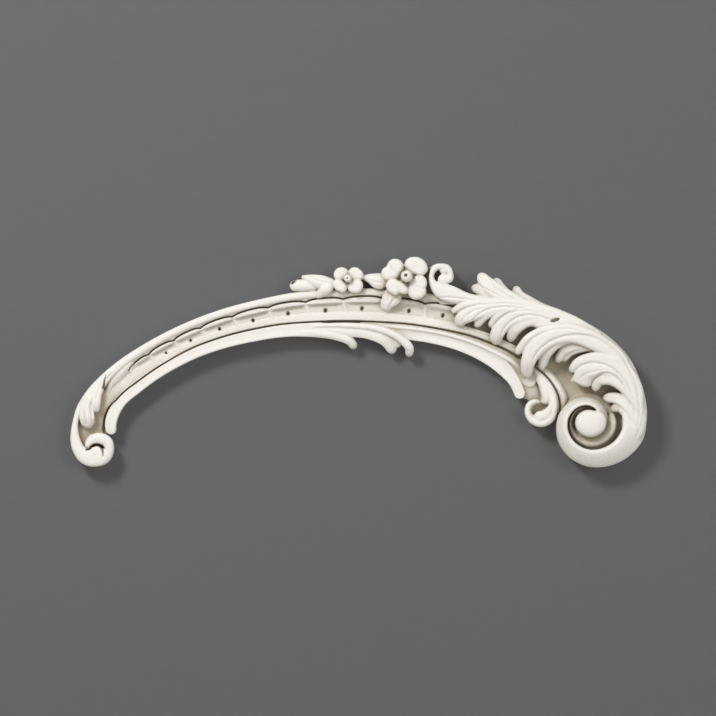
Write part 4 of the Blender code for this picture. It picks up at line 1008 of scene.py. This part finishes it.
def cast_plaster(colours):
    """Gypsum plaster, cast in a mould and brushed with matt distemper.

    It is chalky white, with a fine sandy grain, soft waves from the brush and tan specks of dust. Painted
    shade turns the hollows the same tan, the more the less sky they see, and the bottoms of the grooves and
    eyes dark brown.
    """
    material = bpy.data.materials.new("cast gypsum plaster, distempered")
    material.use_nodes = True
    tree = material.node_tree
    shader = tree.nodes["Principled BSDF"]
    shader.inputs["Metallic"].default_value = 0.0
    shader.inputs["IOR"].default_value = 1.5
    shader.inputs["Specular IOR Level"].default_value = 0.35
    place = add_node(tree, "ShaderNodeTexCoord").outputs["Object"]
    # painted shade in the hollows: how little of the sky each point sees, as stored on the pieces
    hollow = add_node(tree, "ShaderNodeAttribute", {"attribute_name": "hollow"}).outputs["Fac"]
    # blotches of thicker and thinner distemper, 25 mm across
    blotch = noise(tree, place, 25, 4.0, 0.55)
    # specks of dust that caught on the brush marks, 3 mm
    speck = noise(tree, place, 3, 3.0, 0.6)
    # the painted shade in the hollows, made uneven by the blotches, with the dust specks added, turns the
    # plaster tan
    uneven = add_node(
        tree, "ShaderNodeMath", {"operation": "MULTIPLY_ADD"}, {1: 0.5, 2: 0.55}, {0: blotch}
    ).outputs[0]
    hollow_shade = add_node(
        tree, "ShaderNodeMath", {"operation": "MULTIPLY"}, {}, {0: hollow, 1: uneven}
    ).outputs[0]
    dust_and_hollow_shade = add_node(
        tree, "ShaderNodeMath", {"operation": "MULTIPLY_ADD", "use_clamp": True}, {1: 0.10},
        {0: speck, 2: hollow_shade},
    ).outputs[0]
    colour = add_node(
        tree, "ShaderNodeMix", {"data_type": "RGBA"}, {6: (*colours.plaster, 1.0), 7: (*colours.hollow_shade_and_dust, 1.0)},
        {0: dust_and_hollow_shade},
    ).outputs[2]
    # painted shade: a dark brown at the bottom of the grooves and the drilled eyes
    grime = add_node(tree, "ShaderNodeAttribute", {"attribute_name": "grime"}).outputs["Fac"]
    groove_shaded = add_node(
        tree, "ShaderNodeMix", {"data_type": "RGBA"}, {7: (*colours.grime, 1.0)}, {0: grime, 6: colour}
    ).outputs[2]
    tree.links.new(groove_shaded, shader.inputs["Base Color"])
    rough = add_node(
        tree, "ShaderNodeMapRange", {}, {"To Min": 0.58, "To Max": 0.74}, {"Value": speck}
    ).outputs["Result"]
    tree.links.new(rough, shader.inputs["Roughness"])
    # sandy grain of the distemper: 0.3 mm, drawn at 0.9 mm so that it shows
    grain = noise(tree, place, 0.9, 2.0)
    # brush waves, 7 mm
    wave = noise(tree, place, 7, 2.0)
    waves = add_node(
        tree, "ShaderNodeBump", {}, {"Strength": 0.35, "Distance": 0.0006}, {"Height": wave}
    ).outputs["Normal"]
    grains = add_node(
        tree, "ShaderNodeBump", {}, {"Strength": 0.30, "Distance": 0.0001}, {"Height": grain, "Normal": waves}
    ).outputs["Normal"]
    tree.links.new(grains, shader.inputs["Normal"])
    return material


def matt_paint(name, colour):
    """Flat wall paint, rolled on: no shine, and a faint mottle of the roller, 12 mm."""
    material = bpy.data.materials.new(name)
    material.use_nodes = True
    tree = material.node_tree
    shader = tree.nodes["Principled BSDF"]
    shader.inputs["Roughness"].default_value = 0.85
    shader.inputs["Specular IOR Level"].default_value = 0.2
    place = add_node(tree, "ShaderNodeTexCoord").outputs["Object"]
    mottle = noise(tree, place, 12, 3.0)
    darker = tuple(0.94 * c for c in colour)
    shade = add_node(
        tree, "ShaderNodeMix", {"data_type": "RGBA"}, {6: (*colour, 1.0), 7: (*darker, 1.0)}, {0: mottle}
    ).outputs[2]
    tree.links.new(shade, shader.inputs["Base Color"])
    return material


def seen_from_the_room_only(material):
    """Lets a wall be looked through from behind, and lets light reach what lies flat against it."""
    tree = material.node_tree
    shader, output = tree.nodes["Principled BSDF"], tree.nodes["Material Output"]
    behind = add_node(tree, "ShaderNodeNewGeometry").outputs["Backfacing"]
    ray = add_node(tree, "ShaderNodeLightPath").outputs["Ray Length"]
    touching = add_node(
        tree, "ShaderNodeMath", {"operation": "LESS_THAN"}, {1: 0.003}, {0: ray}
    ).outputs[0]
    either = add_node(
        tree, "ShaderNodeMath", {"operation": "MAXIMUM"}, {}, {0: behind, 1: touching}
    ).outputs[0]
    clear = add_node(tree, "ShaderNodeBsdfTransparent").outputs["BSDF"]
    mix = add_node(tree, "ShaderNodeMixShader", {}, {}, {0: either, 1: shader.outputs["BSDF"], 2: clear})
    tree.links.new(mix.outputs["Shader"], output.inputs["Surface"])


def openness(heights):
    """How much of the sky each cell of a height field sees, from 0 to 1."""
    rows, columns = heights.shape
    margin = int(REACH / CELL) + 1
    padded = np.pad(heights, margin, mode="edge")
    seen = np.zeros_like(heights)
    directions = 16
    for k in range(directions):
        angle = 2 * math.pi * k / directions
        horizon = np.zeros_like(heights)
        for step in range(1, margin + 1):
            dx, dy = int(round(math.cos(angle) * step)), int(round(math.sin(angle) * step))
            away = math.hypot(dx, dy) * CELL
            if away == 0 or away > REACH:
                continue
            there = padded[margin + dy : margin + dy + rows, margin + dx : margin + dx + columns]
            horizon = np.maximum(horizon, (there - heights) / away)
        seen += 1 - np.sin(np.arctan(horizon))
    return seen / directions


def store(piece, name, values):
    """Stores one value on every point of a piece."""
    attribute = piece.data.attributes.new(name, "FLOAT", "POINT")
    attribute.data.foreach_set("value", values.astype(np.float32))


def mark_hollow_shade(pieces):
    """Stores on every point how deep it sits among the carving around it, for the painted shade in the
    hollows.
    """
    low = (CAD_LOW[0] - EDGE, CAD_LOW[2] - EDGE)
    columns = int((CAD_HIGH[0] - CAD_LOW[0] + 2 * EDGE) / CELL) + 1
    rows = int((CAD_HIGH[2] - CAD_LOW[2] + 2 * EDGE) / CELL) + 1
    heights = np.zeros((rows, columns))
    spots = []
    for piece in pieces:
        points = points_of(piece.data)
        column = np.clip(((points[:, 0] - low[0]) / CELL).astype(int), 0, columns - 1)
        row = np.clip(((points[:, 2] - low[1]) / CELL).astype(int), 0, rows - 1)
        np.maximum.at(heights, (row, column), -points[:, 1])
        spots.append((row, column, -points[:, 1]))
    near = [np.roll(heights, shift, (0, 1)) for shift in ((0, 1), (0, -1), (1, 0), (-1, 0))]
    heights = np.where(heights > 0, heights, np.median(near, axis=0))
    shifts = [(i, j) for i in range(-2, 3) for j in range(-2, 3)]
    lowest = np.min([np.roll(heights, shift, (0, 1)) for shift in shifts], axis=0)
    sky = openness(heights)
    for piece, (row, column, height) in zip(pieces, spots):
        sunk = np.clip((heights[row, column] - height) / SUNK, 0.0, 1.0)
        beside_carving = lowest[row, column] > 0  # not on an outer side, which is plain like the back
        hollow = np.clip((OPEN_SKY - sky[row, column]) / (OPEN_SKY - DARK_SKY), 0.0, 1.0)
        value = np.maximum(hollow, np.where(beside_carving, sunk, 0.0))
        store(piece, "hollow", np.where(height < BACK[0], BACK[1], value))


def mark_groove_shade(pieces, sizes):
    """Stores on every point how near it is to a groove's or an eye's bottom, for the dark painted shade
    there.
    """
    unit, height_unit = units_of(sizes)
    lowest, highest = GROOVE_SHADE_HEIGHTS[0], GROOVE_SHADE_HEIGHTS[1] * height_unit
    eyes = scallop_eyes(sizes) + FLOWER_EYES[:1] + FLOWER_EYES[2:]
    dots = [[(x - 0.3, y, 0.8 * half, 0.0), (x + 0.3, y, 0.8 * half, 0.0)] for x, y, _, _, half in eyes]
    tree, rows = tree_of(arch_grooves() + SCROLL_LINE + STRIP_LINE + dots)
    widest = 3.0
    for piece in pieces:
        points = points_of(piece.data)
        grime = np.zeros(len(points))
        if piece.name != "acanthus_leaf":
            for k, (x, y, z) in enumerate(points):
                _, nearest, away = tree.find((*on_drawing(x, z, unit), 0.0))
                if away < widest and lowest < -y < highest:
                    grime[k] = smooth_step(1.25 - away / rows[nearest, 2])
        store(piece, "grime", grime)


class MOULDING_OT_carve_arch(bpy.types.Operator):
    """Carves the arched rails and the row of scallops between them"""

    bl_idname = "moulding.carve_arch"
    bl_label = "Carve the arch"
    bl_options = {"REGISTER", "UNDO"}

    def execute(self, context):
        shapes = (arch_ground, arch_rails, arch_leaves, scallops)
        eyes = scallop_eyes(context.scene.moulding_sizes)
        cast(context, "arch", shapes, eyes, arch_grooves() + SCROLL_LINE, SCROLL_CREASES)
        return {"FINISHED"}


class MOULDING_OT_carve_left_scroll(bpy.types.Operator):
    """Carves the small scroll at the left end, with the leaf tips above it"""

    bl_idname = "moulding.carve_left_scroll"
    bl_label = "Carve the left scroll"
    bl_options = {"REGISTER", "UNDO"}

    def execute(self, context):
        cast(context, "left_scroll", (left_scroll,), (), SCROLL_LINE, SCROLL_CREASES)
        return {"FINISHED"}


class MOULDING_OT_carve_leaf(bpy.types.Operator):
    """Carves the large acanthus leaf and the volute that it rolls into"""

    bl_idname = "moulding.carve_leaf"
    bl_label = "Carve the acanthus leaf"
    bl_options = {"REGISTER", "UNDO"}

    def execute(self, context):
        shapes = (leaf_ground, acanthus, upper_leaf, large_volute)
        cast(context, "acanthus_leaf", shapes, LEAF_SLIT, (), LEAF_CREASES)
        return {"FINISHED"}


class MOULDING_OT_carve_small_volute(bpy.types.Operator):
    """Carves the small volute that closes the inner rail"""

    bl_idname = "moulding.carve_small_volute"
    bl_label = "Carve the small volute"
    bl_options = {"REGISTER", "UNDO"}

    def execute(self, context):
        cast(context, "small_volute", (small_volute,), (), STRIP_LINE)
        return {"FINISHED"}


class MOULDING_OT_carve_flowers(bpy.types.Operator):
    """Carves the two flowers on the crown, with their leaves and the bud"""

    bl_idname = "moulding.carve_flowers"
    bl_label = "Carve the flowers"
    bl_options = {"REGISTER", "UNDO"}

    def execute(self, context):
        cast(context, "flowers", (flower_ground, flowers), FLOWER_EYES, (), PETAL_CREASES)
        return {"FINISHED"}


class MOULDING_OT_coat_plaster(bpy.types.Operator):
    """Gives every cast piece its plaster, with painted shade in the hollows and grooves"""

    bl_idname = "moulding.coat_plaster"
    bl_label = "Coat the plaster"
    bl_options = {"REGISTER", "UNDO"}

    def execute(self, context):
        pieces = [obj for obj in context.scene.objects if obj.get("cast_piece")]
        if not pieces:
            raise RuntimeError("there is no carving to coat")
        mark_hollow_shade(pieces)
        mark_groove_shade(pieces, context.scene.moulding_sizes)
        plaster = cast_plaster(context.scene.moulding_colours)
        for piece in pieces:
            piece.data.materials.clear()
            piece.data.materials.append(plaster)
        return {"FINISHED"}


def soft_light(context, name, place, size, power):
    """A square area light that looks at the moulding and that the camera doesn't see."""
    data = bpy.data.lights.new(name, "AREA")
    data.size = size
    data.energy = power
    light = bpy.data.objects.new(name, data)
    context.scene.collection.objects.link(light)
    light.location = place
    light.rotation_euler = (LIT_POINT - Vector(place)).to_track_quat("-Z", "Y").to_euler()
    light.visible_camera = False


def flat_sheet(context, name, width, depth, material):
    """A level sheet with its middle at its origin."""
    bm = bmesh.new()
    bmesh.ops.create_grid(bm, x_segments=1, y_segments=1, size=0.5)
    bmesh.ops.scale(bm, vec=(width, depth, 1), verts=bm.verts)
    mesh = bpy.data.meshes.new(name)
    bm.to_mesh(mesh)
    bm.free()
    mesh.materials.append(material)
    sheet = bpy.data.objects.new(name, mesh)
    context.scene.collection.objects.link(sheet)
    return sheet


class MOULDING_OT_set_stage(bpy.types.Operator):
    """Sets the moulding on its wall above a pale floor, with soft light and the camera"""

    bl_idname = "moulding.set_stage"
    bl_label = "Set the stage"
    bl_options = {"REGISTER", "UNDO"}

    def execute(self, context):
        scene = context.scene
        colours, light = scene.moulding_colours, scene.moulding_light
        unit, _ = units_of(scene.moulding_sizes)
        wall_paint = matt_paint("rolled wall paint", colours.wall)
        seen_from_the_room_only(wall_paint)
        wall = flat_sheet(context, "wall", 4.0, 3.0, wall_paint)
        wall.rotation_euler = (math.radians(90), 0, 0)
        wall.location = (0, WALL_GAP, 0.8)
        floor = flat_sheet(context, "floor", 14.0, 14.0, matt_paint("pale floor", colours.floor))
        floor.location = (0, 0, FLOOR_LEVEL)
        for name, (place, size) in LIGHTS.items():
            soft_light(context, name + " light", place, size, getattr(light, name))
        world = bpy.data.worlds.new("room")
        scene.world = world
        world.use_nodes = True
        background = world.node_tree.nodes["Background"]
        background.inputs["Color"].default_value = (1.0, 1.0, 1.0, 1.0)
        background.inputs["Strength"].default_value = light.room
        data = bpy.data.cameras.new("camera")
        camera = bpy.data.objects.new("camera", data)
        scene.collection.objects.link(camera)
        data.sensor_width = SENSOR
        data.lens = SENSOR * CAMERA_AWAY / (PICTURE * unit)
        data.clip_end = 50.0
        camera.location = (0.0, -CAMERA_AWAY - MID_RELIEF, (ORIGIN[1] - PICTURE / 2) * unit)
        camera.rotation_euler = (math.radians(90), 0, 0)
        scene.camera = camera
        scene.view_settings.view_transform = "Standard"
        return {"FINISHED"}


OPERATORS = (
    MOULDING_OT_carve_arch,
    MOULDING_OT_carve_left_scroll,
    MOULDING_OT_carve_leaf,
    MOULDING_OT_carve_small_volute,
    MOULDING_OT_carve_flowers,
    MOULDING_OT_coat_plaster,
    MOULDING_OT_set_stage,
)


class MOULDING_PT_sidebar(bpy.types.Panel):
    """The moulding's sizes, colours and steps"""

    bl_idname = "MOULDING_PT_sidebar"
    bl_label = "Ceiling moulding"
    bl_space_type = "VIEW_3D"
    bl_region_type = "UI"
    bl_category = "Moulding"

    def draw(self, context):
        layout = self.layout
        scene = context.scene
        for group in (scene.moulding_sizes, scene.moulding_colours, scene.moulding_light):
            box = layout.box()
            for name in group.__annotations__:
                box.prop(group, name)
        for operator in OPERATORS:
            layout.operator(operator.bl_idname)


CLASSES = (MouldingSizes, MouldingColours, StudioLight, *OPERATORS, MOULDING_PT_sidebar)


def register():
    """Makes the classes and the settings known to Blender."""
    for cls in CLASSES:
        bpy.utils.register_class(cls)
    bpy.types.Scene.moulding_sizes = PointerProperty(type=MouldingSizes)
    bpy.types.Scene.moulding_colours = PointerProperty(type=MouldingColours)
    bpy.types.Scene.moulding_light = PointerProperty(type=StudioLight)


def unregister():
    """Takes the settings and the classes away again."""
    del bpy.types.Scene.moulding_light
    del bpy.types.Scene.moulding_colours
    del bpy.types.Scene.moulding_sizes
    for cls in reversed(CLASSES):
        bpy.utils.unregister_class(cls)


def main():
    """Carves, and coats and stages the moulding."""
    register()
    bpy.ops.moulding.carve_arch()
    bpy.ops.moulding.carve_left_scroll()
    bpy.ops.moulding.carve_leaf()
    bpy.ops.moulding.carve_small_volute()
    bpy.ops.moulding.carve_flowers()
    bpy.ops.moulding.coat_plaster()
    bpy.ops.moulding.set_stage()


if __name__ == "__main__":
    main()
